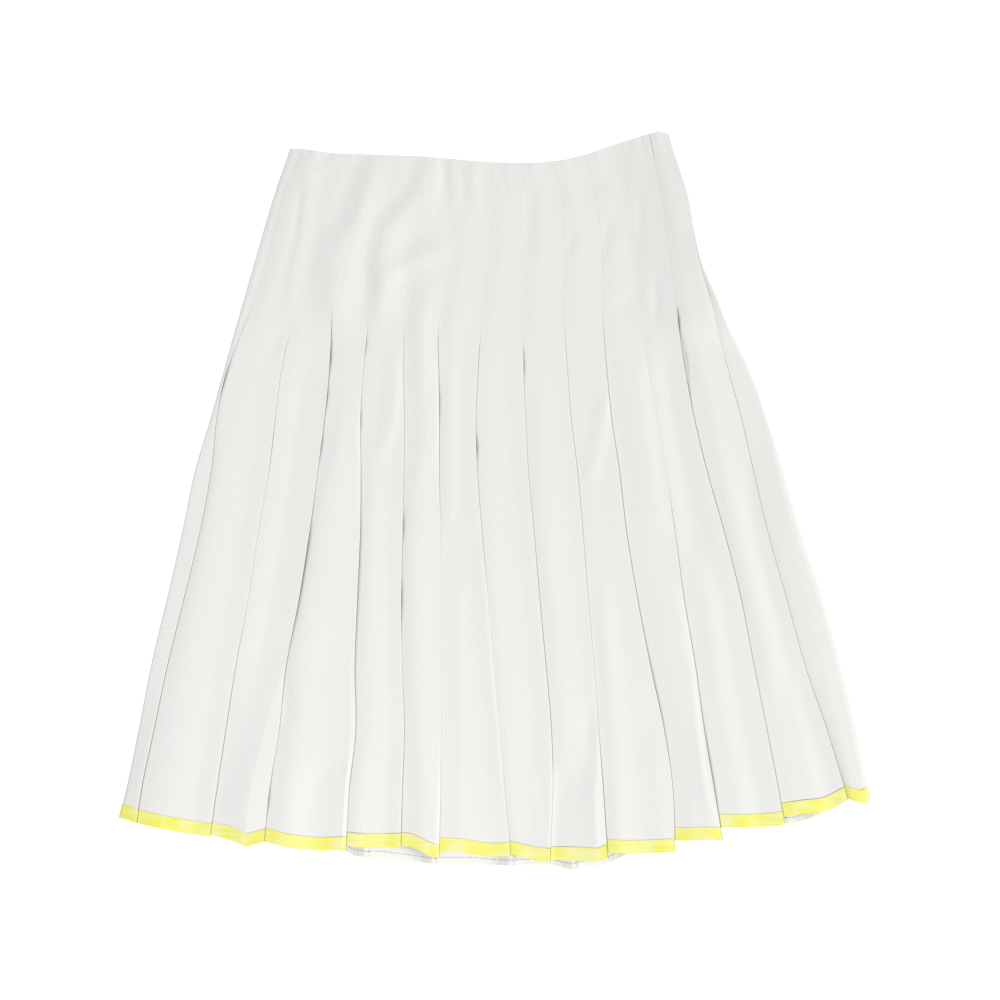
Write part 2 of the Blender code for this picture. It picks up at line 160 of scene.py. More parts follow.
# How a panel of the front lies: it rises from under the fold at its left, over that width and by
# that share of a fold's height, and climbs the rest of it beside its own fold.
Lie = namedtuple("Lie", "rise_wide rise_part climb_wide")
FRONT_LIES = [Lie(*row) for row in (
    (4, 0.20, 30), (12, 0.25, 22), (14, 0.40, 30), (24, 0.90, 8), (12, 0.40, 16), (24, 0.90, 8),
    (20, 0.40, 18), (8, 0.15, 20), (18, 0.55, 14), (12, 0.40, 26), (22, 0.92, 8), (10, 0.12, 24),
    (16, 0.45, 20), (8, 0.40, 8),
)]
YOKE_LIE = Lie(11, 0.7, 10)
LIE_STARTS, LIE_ENDS = RELEASE - 20, RELEASE + 90    # the yoke's lie turns into the panel's own

# A swell: a ridge in one panel, along points across and down, that wide to its left and to its
# right (0: as far as the fold) and that high.
Swell = namedtuple("Swell", "panel points left right high")
SWELLS = [Swell(*row) for row in (
    (1, ((230, 350), (217, 470), (206, 540), (196, 600), (185, 660), (177, 720), (170, 770), (160, 830),
        (142, 950)), 24, 34, 0.6),
    (2, ((308, 335), (301, 400), (293, 450), (284, 520), (276, 570), (267, 620), (258, 700)), 20, 34, -0.7),
    (3, ((341, 370), (342, 430), (331, 470), (321, 510), (313, 560), (304, 610), (296, 660), (292, 720),
        (288, 780), (276, 950)), 0, 46, 0.9),
    (3, ((350, 744), (327, 764), (316, 782), (311, 808), (308, 850), (300, 950)), 22, 34, -1.0),
    (4, ((373, 420), (372, 520), (367, 600), (369, 650), (371, 700), (371, 735), (365, 758), (360, 780),
        (358, 820), (350, 950)), 0, 24, 0.6),
    (5, ((423, 340), (425, 400), (425, 440), (416, 480), (412, 520), (411, 580), (413, 640), (415, 690),
        (417, 730), (421, 765), (429, 800), (435, 840), (440, 950)), 0, 26, 0.9),
    (6, ((449, 350), (450, 400), (449, 480), (446, 540)), 0, 12, 0.6),
    (6, ((481, 540), (486, 610), (493, 690), (499, 750), (505, 810)), 9, 6, 0.2),
    (6, ((458, 560), (460, 700), (464, 950)), 9, 9, 0.35),
    (7, ((492, 340), (487, 430), (487, 500), (491, 560), (498, 620), (504, 700), (508, 760), (520, 950)),
        9, 28, 0.25),
    (7, ((532, 752), (534, 800), (538, 950)), 26, 10, 0.6),
    (8, ((546, 360), (536, 430), (538, 500), (545, 560), (552, 620), (558, 690), (563, 740), (568, 790)),
        0, 30, 0.5),
    (8, ((592, 752), (569, 776), (560, 800), (556, 850), (550, 950)), 20, 32, -0.8),
    (9, ((609, 390), (599, 440), (590, 485)), 14, 10, 0.8),
    (9, ((602, 570), (607, 640), (612, 700), (617, 760), (622, 950)), 12, 14, 0.8),
    (9, ((650, 730), (656, 790), (664, 950)), 14, 14, 0.7),
    (10, ((636, 340), (641, 400), (652, 480), (664, 550)), 24, 12, 0.7),
    (10, ((669, 560), (680, 620), (692, 690), (701, 760), (708, 820), (720, 950)), 0, 9, 0.9),
    (11, ((660, 335), (673, 420), (682, 470), (690, 520), (698, 575)), 13, 22, -0.8),
    (11, ((686, 540), (703, 585), (711, 615), (715, 650), (719, 690), (727, 730), (735, 770), (741, 810),
        (750, 950)), 20, 15, 1.1),
    (12, ((694, 325), (701, 360), (712, 400), (724, 480), (735, 540), (751, 600), (765, 650), (770, 690),
        (776, 730)), 0, 22, 0.9),
    (12, ((783, 620), (795, 690), (804, 750), (816, 800), (840, 950)), 10, 10, 0.3),
    (12, ((742, 440), (755, 530), (772, 600), (790, 665), (811, 730), (828, 790), (850, 900)), 14, 16,
        -0.8),
    (13, ((768, 420), (784, 500), (795, 560), (808, 600), (820, 650), (832, 700), (846, 760), (862, 850)),
        0, 30, 0.8),
)]
SWELL_END = 0.16                                # the share of its length over which one fades
SWELL_FROM_LEFT, SWELL_FROM_CREST = 3.0, 2.5    # one grows over that width beside its panel's edges

# A crest: from here down the panel stands up beside its fold, and its edge turned to the right
# shows between the crest and the fold, that wide and that high, at each place down the fold.
Crest = namedtuple("Crest", "fold ramp steps")
CRESTS = [Crest(*row) for row in (
    (2, 34, ((652, 0, 0), (694, 7, 0.9), (730, 13, 1.6), (773, 16.5, 2.2), (798, 18.5, 2.5),
        (850, 18, 2.6))),
    (3, 36, ((600, 0, 0), (650, 2, 0.3), (690, 4, 0.7), (750, 4, 1.1), (790, 3, 1.4), (850, 3, 1.5))),
    (7, 20, ((690, 0, 0), (750, 2, 0.4), (850, 2, 0.6))),
    (8, 36, ((715, 0, 0), (746, 2.5, 0.6), (762, 3.2, 1.0), (781, 6.2, 1.5), (793, 8, 1.9),
        (850, 9.5, 2.1))),
    (10, 18, ((650, 0, 0), (701, 1.8, 0.4), (732, 3.7, 0.8), (762, 5, 1.1), (785, 6, 1.3), (808, 4, 1.2),
        (850, 2, 0.8))),
)]

# A gape: a stretch where a fold stands open, widest at one place, with the cloth under it that much
# lower over that width.
Gape = namedtuple("Gape", "fold start widest end wide deep")
GAPES = [Gape(*row) for row in (
    (0, 345, 384, 392, 0.1, 0.6), (2, 325, 360, 378, 0.35, 0.7), (2, 384, 397, 412, 0.1, 0.6),
    (2, 428, 446, 464, 0.1, 0.5), (2, 510, 548, 690, 0.2, 0.7), (2, 785, 800, 815, 0.1, 0.4),
    (3, 334, 346, 358, 0.0, 0.4), (3, 403, 420, 435, 0.0, 0.5), (3, 486, 560, 775, 0.0, 0.4),
    (4, 506, 526, 548, 0.1, 0.6), (4, 570, 600, 626, 0.1, 0.6), (5, 380, 400, 430, 0.0, 0.4),
    (6, 426, 447, 468, 0.5, 0.7), (7, 352, 366, 380, 0.1, 0.6), (9, 600, 690, 765, 0.0, 0.4),
    (10, 690, 770, 830, 0.1, 0.5), (11, 309, 320, 338, 0.6, 0.9), (11, 322, 354, 408, 3.6, 0.2),
    (12, 286, 292, 300, 0.1, 0.3),
)]

# How dark the painted shade line beside each fold of the front is, at places down it.
PAINTED_FOLD_LINES = (
    ((150, 0.35), (200, 0.15), (310, 0.2), (330, 0.5), (365, 0.7), (380, 1.0), (396, 1.0), (408, 0.6),
        (560, 0.6), (640, 0.85), (870, 1.0)),
    ((150, 0.1), (330, 0.1), (345, 0.45), (400, 0.35), (440, 0.8), (480, 0.35), (600, 0.3), (690, 0.8),
        (800, 0.75), (870, 0.5)),
    ((150, 0.12), (310, 0.15), (326, 0.9), (450, 0.9), (480, 0.55), (510, 0.9), (690, 0.8), (735, 0.35),
        (770, 0.5), (793, 0.9), (806, 0.9), (816, 0.5), (870, 0.5)),
    ((150, 0.1), (325, 0.1), (340, 0.8), (370, 0.3), (400, 0.6), (450, 0.55), (490, 0.9), (780, 0.7),
        (810, 0.3), (870, 0.3)),
    ((150, 0.08), (325, 0.1), (345, 0.5), (500, 0.5), (620, 0.8), (650, 0.3), (720, 0.6), (870, 0.7)),
    ((150, 0.08), (325, 0.1), (340, 0.7), (420, 0.8), (500, 0.5), (525, 0.12), (870, 0.15)),
    ((150, 0.1), (330, 0.1), (350, 0.6), (560, 0.5), (600, 0.15), (730, 0.05), (870, 0.1)),
    ((150, 0.08), (340, 0.1), (352, 0.8), (400, 0.4), (500, 0.5), (600, 0.75), (755, 0.75), (775, 0.2),
        (870, 0.3)),
    ((150, 0.08), (320, 0.12), (345, 0.45), (480, 0.6), (600, 0.4), (680, 0.2), (740, 0.4), (770, 0.8),
        (870, 0.9)),
    ((150, 0.1), (320, 0.15), (335, 0.6), (470, 0.8), (600, 0.9), (750, 0.9), (780, 0.5), (870, 0.6)),
    ((150, 0.1), (340, 0.06), (480, 0.1), (510, 0.5), (600, 0.75), (690, 0.9), (870, 0.95)),
    ((131, 0.9), (150, 0.7), (165, 0.2), (304, 0.15), (311, 0.95), (600, 0.9), (650, 0.7), (870, 0.7)),
    ((250, 0.0), (284, 0.1), (292, 0.5), (300, 0.15), (318, 0.1), (335, 0.4), (375, 0.6), (600, 0.45),
        (700, 0.5), (870, 0.5)),
)

# A drape: a ridge along points across and down, that wide to its left and to its right. Those of
# the yoke come first, then one along each side, where the front falls less.
Drape = namedtuple("Drape", "points left right high")
DRAPES = [Drape(*row) for row in (
    (((386, 152), (369, 185), (361, 205), (354, 225), (342, 240), (336, 255), (333, 280), (331, 305),
        (331, 345)), 22, 32, 1.8),
    (((430, 150), (421, 190), (408, 208), (388, 226), (382, 245), (380, 268), (383, 290), (380, 310),
        (378, 335)), 16, 26, 1.6),
    (((434, 282), (428, 298), (423, 318), (423, 345), (424, 400)), 17, 18, 1.1),
    (((662, 128), (684, 180), (692, 220), (697, 255), (703, 290), (711, 362)), 64, 44, 3.8),
    (((394, 350), (395, 388), (392, 425), (384, 448), (374, 464)), 16, 9, 1.0),
    (((381, 281), (398, 269), (415, 259), (436, 251), (458, 246)), 15, 14, 1.2),
    (((309, 150), (307, 190), (303, 230), (293, 280), (284, 330)), 9, 16, 0.6),
    (((453, 156), (453, 180), (456, 210)), 8, 9, 0.6), (((472, 158), (473, 185), (478, 215)), 9, 10, 0.5),
    (((259, 240), (248, 280), (234, 330), (222, 375), (209, 420), (194, 470), (182, 530), (166, 600),
        (150, 665), (138, 730)), 40, 16, 0.8),
    (((684, 150), (700, 200), (721, 260), (748, 300), (768, 330), (788, 375), (797, 420), (800, 470),
        (812, 530), (835, 600), (853, 665), (869, 730), (881, 790), (900, 880), (930, 1000), (960, 1200)),
        46, 60, 2.6),
)]
# How high a drape starts, how fast it grows and where it begins to fade, in shares of its length.
DRAPE_START, DRAPE_GROWS, DRAPE_FADES = 0.35, 3.0, 0.78

# A crease: a soft trough (deep above nought) or ridge (below it) along points across and down.
Crease = namedtuple("Crease", "points wide deep")
CREASES = [Crease(*row) for row in (
    (((286, 332), (276, 340), (268, 352)), 5, 0.5),
    (((306, 172), (321, 168), (335, 160), (342, 153)), 2.2, -0.7),
    (((300, 185), (298, 215), (293, 245)), 4, 0.4), (((443, 156), (443, 176), (441, 196)), 4.5, 0.5),
    (((500, 162), (503, 178), (506, 196)), 3, 0.5), (((570, 181), (592, 184), (616, 180)), 9, 0.5),
    (((577, 234), (570, 244), (566, 254)), 4, 0.6), (((614, 214), (607, 232), (602, 254)), 7, 0.7),
    (((642, 292), (624, 305), (606, 318)), 6, 0.6), (((534, 185), (530, 215), (528, 250)), 7, 0.5),
    (((655, 278), (656, 300), (655, 324)), 6, 0.7), (((640, 190), (640, 215), (641, 242)), 5, 0.6),
    (((716, 322), (723, 327), (731, 332)), 2, 0.6), (((462, 300), (456, 330), (452, 352)), 8, -0.25),
    (((610, 640), (614, 681), (618, 706)), 1.4, 0.25), (((719, 690), (725, 738)), 1.4, 0.3),
    (((721, 697), (728, 723), (737, 756)), 1.4, 0.3), (((286, 684), (289, 704), (288, 722)), 5, 0.8),
    (((587, 712), (588, 732), (585, 754)), 6, 0.7),
)]
CREASE_END, CREASE_FULLNESS = 0.06, 0.8         # how one fades to both ends

# A pucker of the waist's edge: a small trough where the edge was drawn in: across, wide and deep.
Pucker = namedtuple("Pucker", "across wide deep")
PUCKERS = [Pucker(*row) for row in (
    (308, 2.6, 0.45), (317, 3.2, -0.35), (329, 2.4, 0.4), (341, 3.0, 0.35), (352, 2.4, -0.3),
    (381, 3.0, 0.3), (412, 2.6, -0.25), (440, 2.4, 0.25), (470, 3.0, 0.35), (503, 2.4, 0.3),
    (534, 3.2, -0.25), (571, 2.6, 0.3), (599, 2.4, -0.3), (631, 2.8, 0.4), (641, 2.2, 0.4),
    (657, 3.0, -0.25),
)]
PUCKER_REACH = 13.0

# A panel's hem: how far down it lies at its left edge, at two places between, and at its crest or
# fold, and how dark the painted shadow line along the ribbon's upper edge is.
Hem = namedtuple("Hem", "left first second fold line")
FRONT_HEMS = [Hem(*row) for row in (
    (817.5, 818.5, 820.5, 822.5, 0.3), (822.5, 828, 832.5, 836, 0.25), (834.5, 837, 840.5, 846, 0.15),
    (841, 847, 850, 849, 0.45), (845, 846.5, 846.5, 846, 0.7), (845, 847, 853.5, 857.5, 0.8),
    (850.5, 851.5, 855.5, 855, 0.2), (853.5, 857, 859.5, 861, 0.7), (859.5, 859.5, 860, 860.5, 0.6),
    (852, 853, 852.5, 851, 0.25), (840, 840, 839.5, 839.5, 0.15), (827, 827, 826.5, 824, 0.2),
    (816, 813, 810, 800, 0.85), (798, 801, 802.5, 800, 0.4),
)]
HEM_PARTS = (0.0, 0.33, 0.67, 1.0)
FOLD_HEMS = {2: 841.0, 3: 849.0, 7: 861.0, 8: 857.0, 10: 839.5}   # at the fold below a crest

# Where the columns of a panel stand: from its left edge, with the part of a gape's width that each
# moves on by, then by shares between, and from its fold.
FROM_LEFT = ((0.2, 0.0), (0.6, 0.2), (0.95, 1.0), (1.4, 1.0), (3.6, 1.0), (6.9, 1.0), (11.5, 1.0))
SUNK_COLUMNS = 3                                # those that lie down in a gape
BETWEEN = (0.125, 0.25, 0.375, 0.5, 0.625, 0.75, 0.875)
FROM_FOLD = (8.0, 5.0, 3.0, 1.7, 0.9, 0.4, 0.12)
CREST_FULL = 3.0                                # beside a crest that wide the first of those stand
FROM_CREST = ((1.6, 2.2), (0.1, 2.1), (-1.2, 2.0))    # that far from it and, at least, from the fold
LIP_IN_YOKE = 0.45                              # how close together the others stand in the yoke
LIP_FALL = (0.0, 0.0, 0.0, 0.0, 0.03, 0.14, 0.45)    # how far the fold's edge falls, in its heights
FALL_IN_YOKE = 0.3                              # its fall in the yoke, as a share of that below
LIP_SHADE = (0.0, 0.0, 0.03, 0.12, 0.26)        # painted shade on the edge of a fold, which dims its lit rim
CREST_SHADE = 0.08                              # how much more painted shade there is beside a crest, on its lit edge
FOLD_EDGE_SHADE = 0.3                           # painted shade on its tuck's first column
SHADE_BESIDE = ((0.85, 1.0), (0.3, 0.45))       # the next columns' shares of the line's and gape's painted shade
WIDE_GAPE, WIDE_GAPE_SHADE = (0.5, 2.0), 0.2    # painted shade on the cloth in a gape that wide
NARROWEST_FULL = 28.0                           # a narrower panel has its columns closer together
PANEL_COUNT = len(FROM_LEFT) + len(BETWEEN) + len(FROM_FOLD)
SEWN_COLUMN = PANEL_COUNT - 4                   # the one that the pleat's stitches follow

# The columns of a tuck: how far from the fold, by millimetres and by shares of the tuck's depth, and
# how far along from this panel's hem to the next one's.
TUCK_PLACES = ((0.0, 0.0, 0.0), (0.25, 0.0, 0.0), (1.0, 0.0, 0.05), (0.0, TUCK_MIDDLE, 0.3),
               (0.0, 1.0, 0.5), (0.0, TUCK_MIDDLE, 0.7), (0.8, 0.0, 1.0))

# Where a cloth turns down at its sides: how far inside the side each column is, then the share of
# its height that is left, or how far out it lies.
SEAM_OUT = -(SIDE_BETWEEN_CLOTHS / 2 - 0.1)
SIDE_INWARDS = 0.2
LEFT_TURN = ((0.22, 0.5), (0.25, 0.85), (0.35, 0.97), (0.8, 1.0))
RIGHT_TURN = ((1.2, 0.0), (0.7, -0.1), (0.4, -0.4), (0.28, -0.9))
BACK_TURN = ((0.2, SIDE_BETWEEN_CLOTHS / 2 - 0.1), (0.3, 0.9), (0.9, 0.3), (2.2, 0.0))
SIDE_SHADE, SIDE_SHADE_WIDE = 0.12, 1.0         # painted shade on the cloth turned down at a side, over that width
LEFT_TURN_FULL = 8.0                            # where the first panel is narrower, so is its turn

# How much lower the last panel lies than the others, and how much painted shade darkens it where it comes
# out.
END_DROP, END_DROP_DOWN = 0.2, (300.0, 420.0)
END_SHADE, END_SHADE_DOWN = 0.12, ((250.0, 285.0), (312.0, 345.0))

# Shares of the settings' length, spacing and thread, for the stitches in each place.
PLEAT_STITCHES = (1.0, 1.0, 1.0)
HEM_STITCHES = (0.75, 1.07, 4.0)
GREY_THREAD = 0.15                              # the grey thread's colour, as a share of the white's
# The colour that painted shade darkens the cloth towards, in folds, gapes and along lines.
PAINTED_SHADE_COLOUR = (0.09, 0.075, 0.06, 1.0)

# The lights, in metres, and the floor.
KEY_FROM, KEY_COLOUR = (2.4, -0.55, 1.7), (1.0, 0.975, 0.94)
FILL_FROM, FILL_SIZE = (-0.15, -1.15, 1.0), 0.5
AROUND_COLOUR = (0.97, 0.985, 1.0, 1.0)
FLOOR_SIZE, FLOOR_LEVEL, FLOOR_GLOW = 6.0, -0.2 * MILLIMETRE, 0.75
MIDDLE_HEIGHT = 10.0 * MILLIMETRE               # the height at which the picture is to scale


def share(value, start, end):
    """How far values are from start to end, held between 0 and 1."""
    return np.clip((np.asarray(value, float) - start) / (end - start), 0.0, 1.0)


def ease(value):
    """A share that starts and stops softly."""
    return value * value * (3.0 - 2.0 * value)


def straight_through(points):
    """A function that joins the points with straight lines and carries the end ones on."""
    places, heights = (np.array(column, float) for column in zip(*points))

    def value_at(position):
        index = np.clip(np.searchsorted(places, position) - 1, 0, len(places) - 2)
        slope = (heights[index + 1] - heights[index]) / (places[index + 1] - places[index])
        return heights[index] + slope * (position - places[index])
    return value_at


def smooth_through(positions, values):
    """A function that joins the values with one smooth curve."""
    places, heights = np.array(positions, float), np.array(values, float)
    order = np.arange(len(places))
    before, after = np.maximum(order - 1, 0), np.minimum(order + 1, len(places) - 1)
    slopes = (heights[after] - heights[before]) / (places[after] - places[before])

    def value_at(position):
        index = np.clip(np.searchsorted(places, position) - 1, 0, len(places) - 2)
        span = places[index + 1] - places[index]
        t = (position - places[index]) / span
        low, high = heights[index], heights[index + 1]
        into, out_of = slopes[index] * span, slopes[index + 1] * span
        return (low + into * t + (3 * (high - low) - 2 * into - out_of) * t ** 2
                + (2 * (low - high) + into + out_of) * t ** 3)
    return value_at


waist_down = straight_through(WAIST_EDGE)
back_hem_down = straight_through(BACK_HEM)
left_side = smooth_through(STATIONS, LEFT_SIDE)
right_side = smooth_through(STATIONS, RIGHT_SIDE)
left_slope = straight_through([(down, left) for down, left, right in SIDE_SLOPES])
right_slope = straight_through([(down, right) for down, left, right in SIDE_SLOPES])


def opened(down):
    """How far the folds have opened, from 0 in the sewn-down part to 1 near the hem."""
    return share(down, OPENING_STARTS, OPENING_ENDS)


def panel_level(down):
    """How far out from the inside of its cloth a panel lies, as the solids have it."""
    return 2 * SOLID_PITCH + (SOLID_RIBBONED_PITCH - SOLID_PITCH) * opened(down)


def fold_pitch(down):
    """The distance between the two layers of a fold."""
    return FOLD_IN_YOKE + (FOLD_IN_SKIRT - FOLD_IN_YOKE) * opened(down)


def tuck_gap(across, down):
    """The distance between the two layers inside a tuck, which holds ribbon near the hem."""
    gap = TUCK_IN_YOKE + (TUCK_IN_SKIRT - TUCK_IN_YOKE) * opened(down)
    return gap + (TUCK_AT_HEM - TUCK_IN_SKIRT) * ribbon_lift(across, down)


def ribbon_lift(across, down):
    """How far the back is lifted off the surface, near its hem, by the ribbon under it."""
    lowest_across, lowest_down = HEM_ARC_LOWEST
    left_end, right_end = HEM_ARC_ENDS
    at_left = across < lowest_across
    end_across = np.where(at_left, left_end[0], right_end[0])
    end_down = np.where(at_left, left_end[1], right_end[1])
    part = (across - lowest_across) / (end_across - lowest_across)
    arc = lowest_down - (lowest_down - end_down) * part ** 2
    return share(down - arc, -RIBBON_RISE_STARTS, -RIBBON_RISE_ENDS)


def front_height(across, down, out, thickness):
    """The height of a point of the front, which lies on the back and comes down at the sides."""
    into_left = share((across - left_side(down)) / left_slope(down), 0.0, 1.0)
    into_right = share((right_side(down) - across) / right_slope(down), 0.0, 1.0)
    beside = 1.0 - np.sin(np.minimum(into_left, into_right) * np.pi / 2)
    level = panel_level(down)
    inside = SOLID_WALL - thickness / 2 + RIBBON_LIFT * ribbon_lift(across, down) + level
    return inside + BETWEEN_CLOTHS - (level + BETWEEN_CLOTHS - SIDE_BETWEEN_CLOTHS) * beside + out


def beside(points, across, down):
    """How far places lie to the right of a line of points, and how far along the line they are."""
    nearest, along = np.full_like(across, np.inf), np.zeros_like(across)
    side = np.ones_like(across)
    travelled = 0.0
    for start, end in zip(points, points[1:]):
        run, fall = end[0] - start[0], end[1] - start[1]
        size = np.hypot(run, fall)
        t = share(((across - start[0]) * run + (down - start[1]) * fall) / size ** 2, 0.0, 1.0)
        away = np.hypot(across - start[0] - run * t, down - start[1] - fall * t)
        closer = away < nearest
        nearest = np.where(closer, away, nearest)
        along = np.where(closer, travelled + size * t, along)
        side = np.where(closer, np.sign((across - start[0]) * fall - (down - start[1]) * run), side)
        travelled += size
    return nearest * side, along / travelled


def crease_depth(across, down):
    """How far the creases lower each point."""
    total = np.zeros_like(across)
    for crease in CREASES:
        away, along = beside(crease.points, across, down)
        fade = np.sin((CREASE_END + (1.0 - 2 * CREASE_END) * along) * np.pi) ** CREASE_FULLNESS
        total += crease.deep * fade * np.exp(-(away / crease.wide) ** 2)
    return total


def ridge(away, wide):
    """The height of a ridge of height 1, that far from its crest, with flanks that wide."""
    height = share(np.abs(away) / wide, 1.0, 0.0)
    return (height + ease(height)) / 2


def drape_height(across, down):
    """How far the drapes raise each point."""
    total = np.zeros_like(across)
    for drape in DRAPES:
        away, along = beside(drape.points, across, down)
        fade = np.minimum(1.0, DRAPE_START + DRAPE_GROWS * along) * ease(share(along, 1.0, DRAPE_FADES))
        total += drape.high * fade * ridge(away, np.where(away < 0.0, drape.left, drape.right))
    return total


def swell_height(panel, across, down, left, right):
    """How far the swells of a panel raise its points, between its left edge and its crest."""
    total = np.zeros_like(across)
    for swell in SWELLS:
        if swell.panel == panel:
            acrosses, downs = zip(*swell.points)
            crest = np.interp(down, downs, acrosses)
            span = SWELL_END * (downs[-1] - downs[0])
            fade = ease(share(down, downs[0], downs[0] + span)) * ease(
                share(down, downs[-1], downs[-1] - span))
            wide_left = swell.left if swell.left else np.maximum(crest - left, 1.0)
            wide = np.where(across < crest, wide_left, swell.right)
            total += swell.high * fade * ridge(across - crest, wide)
    return (total * share(across - left, 0.0, SWELL_FROM_LEFT)
            * share(right - across, 0.0, SWELL_FROM_CREST))


def pucker_depth(across, down):
    """How far the puckers lower each point near the waist's edge."""
    fade = 1.0 - ease(share(down - waist_down(across), 0.0, PUCKER_REACH))
    return sum(pucker.deep * fade * np.exp(-((across - pucker.across) / pucker.wide) ** 2)
               for pucker in PUCKERS)


def gape_of(fold, down):
    """How wide and how deep a fold of the front stands open."""
    wide, deep = np.zeros_like(down), np.zeros_like(down)
    for gape in GAPES:
        if gape.fold == fold:
            part = ease(share(down, gape.start, gape.widest)) * (
                1.0 - ease(share(down, gape.widest, gape.end)))
            wide, deep = np.maximum(wide, gape.wide * part), np.maximum(deep, gape.deep * part)
    return wide, deep


def line_of(fold, down):
    """How dark the painted shade line beside a fold of the front is."""
    if not 0 <= fold < len(PAINTED_FOLD_LINES):
        return np.zeros_like(down)
    return np.interp(down, *zip(*PAINTED_FOLD_LINES[fold]))


def crest_of(fold, down):
    """How wide and how high the turned edge beside a fold stands, and how wide its ramp is."""
    for crest in CRESTS:
        if crest.fold == fold:
            downs, wides, highs = zip(*crest.steps)
            return np.interp(down, downs, wides), np.interp(down, downs, highs), crest.ramp
    return np.zeros_like(down), np.zeros_like(down), 1.0


# A column of the cloth: functions of the place down it, for how far across and out its points lie
# and, as painted shade, how much darker their colour is made; where its hem is; how dark the painted
# shadow line on its ribbon's edge is; and whether it is one that a row of stitches follows.
Column = namedtuple("Column", "across out hem shade line sewn", defaults=(None, 0.0, False))


def panel_size(left, fold, down):
    """How close together the columns of a panel stand, 1 in all but the narrowest panels."""
    return np.minimum((fold(down) - left(down)) / NARROWEST_FULL, 1.0)


def crested(number, down):
    """How far a crest stands up beside a fold, from 0 to 1."""
    return share(crest_of(number, down)[0], 0.0, CREST_FULL)


def panel_places(number, left, fold, down):
    """Where each column of a panel stands at places down it."""
    size, at_crest = panel_size(left, fold, down), crested(number, down)
    gape_wide, crest_wide = gape_of(number - 1, down)[0], crest_of(number, down)[0]
    lip_size = size * (LIP_IN_YOKE + (1.0 - LIP_IN_YOKE) * opened(down))
    starts = [left(down) + size * offset + part * gape_wide for offset, part in FROM_LEFT]
    ends = [fold(down) - lip_size * offset for offset in FROM_FOLD]
    for index, (beyond, least) in enumerate(FROM_CREST):
        to_crest = np.maximum(crest_wide + beyond, least)
        ends[index] = fold(down) - size * FROM_FOLD[index] * (1.0 - at_crest) - to_crest * at_crest
    middles = [starts[-1] + (ends[0] - starts[-1]) * part for part in BETWEEN]
    return starts + middles + ends


def panel_out(number, left, fold, down, index):
    """How far out a column of a panel lies."""
    across = panel_places(number, left, fold, down)[index]
    open_part, size = share(down, LIE_STARTS, LIE_ENDS), panel_size(left, fold, down)
    gape_wide, gape_deep = gape_of(number - 1, down)
    crest_wide, crest_high, ramp = crest_of(number, down)
    rise_wide, rise_part, climb_wide = (
        yoke + (skirt - yoke) * open_part for yoke, skirt in zip(YOKE_LIE, FRONT_LIES[number]))
    step = fold_pitch(down) + tuck_gap(left(down), down)
    from_left = across - left(down) - gape_wide
    to_crest = fold(down) - across - crest_wide
    low = 1.0 - ease(share(from_left / (rise_wide * size), 0.0, 1.0))
    climb = ease(share(to_crest / (climb_wide * size), 0.0, 1.0))
    below = step * (rise_part * low + (1.0 - rise_part) * climb)
    if index < SUNK_COLUMNS:
        below = below + gape_deep
    up = 1.0 - share(to_crest / (ramp * size), 0.0, 1.0)
    turned = 1.0 + to_crest / np.maximum(crest_wide, 0.01)
    up = np.where(to_crest >= 0.0, up * up * (2.0 - up), turned)
    raised = swell_height(number, across, down, left(down), fold(down) - crest_wide)
    fall = LIP_FALL[index - PANEL_COUNT] if index >= PANEL_COUNT - len(LIP_FALL) else 0.0
    fall_part = FALL_IN_YOKE + (1.0 - FALL_IN_YOKE) * open_part
    return (panel_level(down) - below + raised + crest_high * np.maximum(up, 0.0)
            - fall * fall_part * (fold_pitch(down) + LIP_DROOP))


def panel_shade(number, down, index):
    """How much painted shade a column at a panel's left edge has, in the fold beside it."""
    gape_wide, gape_deep = gape_of(number - 1, down)
    line, gaping = line_of(number - 1, down), share(gape_deep, 0.0, 1.0)
    if index == 0:
        return np.maximum(line, gaping)
    line_part, gape_part = SHADE_BESIDE[index - 1]
    closed = np.maximum(line_part * line, gape_part * gaping)
    return closed + (WIDE_GAPE_SHADE - closed) * share(gape_wide, *WIDE_GAPE)


def panel_columns(number, left, fold):
    """The columns of a panel that show, from under the fold at its left to its own fold."""
    hem, at_hem = FRONT_HEMS[number], np.array(HEM_MEASURED)
    places = [float(across) for across in panel_places(number, left, fold, at_hem)]
    start, crest_wide = float(left(at_hem)), float(crest_of(number, at_hem)[0])
    crest_across = places[-1] - crest_wide
    hem_down = smooth_through([start + (crest_across - start) * part for part in HEM_PARTS], hem[:4])
    columns = []
    for index, across in enumerate(places):
        edge = float(hem_down(max(across, start)))
        if across > crest_across:
            part = (across - crest_across) / crest_wide
            edge = hem.fold + (FOLD_HEMS.get(number, hem.fold) - hem.fold) * part
        shade = None
        if index < SUNK_COLUMNS:
            shade = (lambda down, index=index: panel_shade(number, down, index))
        if index >= PANEL_COUNT - len(LIP_SHADE):
            shade = (lambda down, part=LIP_SHADE[index - PANEL_COUNT]:
                     part + CREST_SHADE * crested(number, down))
        columns.append(Column(
            lambda down, index=index: panel_places(number, left, fold, down)[index],
            lambda down, index=index: panel_out(number, left, fold, down, index),
            edge, shade, hem.line, index == SEWN_COLUMN))
    return columns


def everywhere(value):
    """A function for a column that has the same value all the way down."""
    return lambda down: np.full_like(down, value)


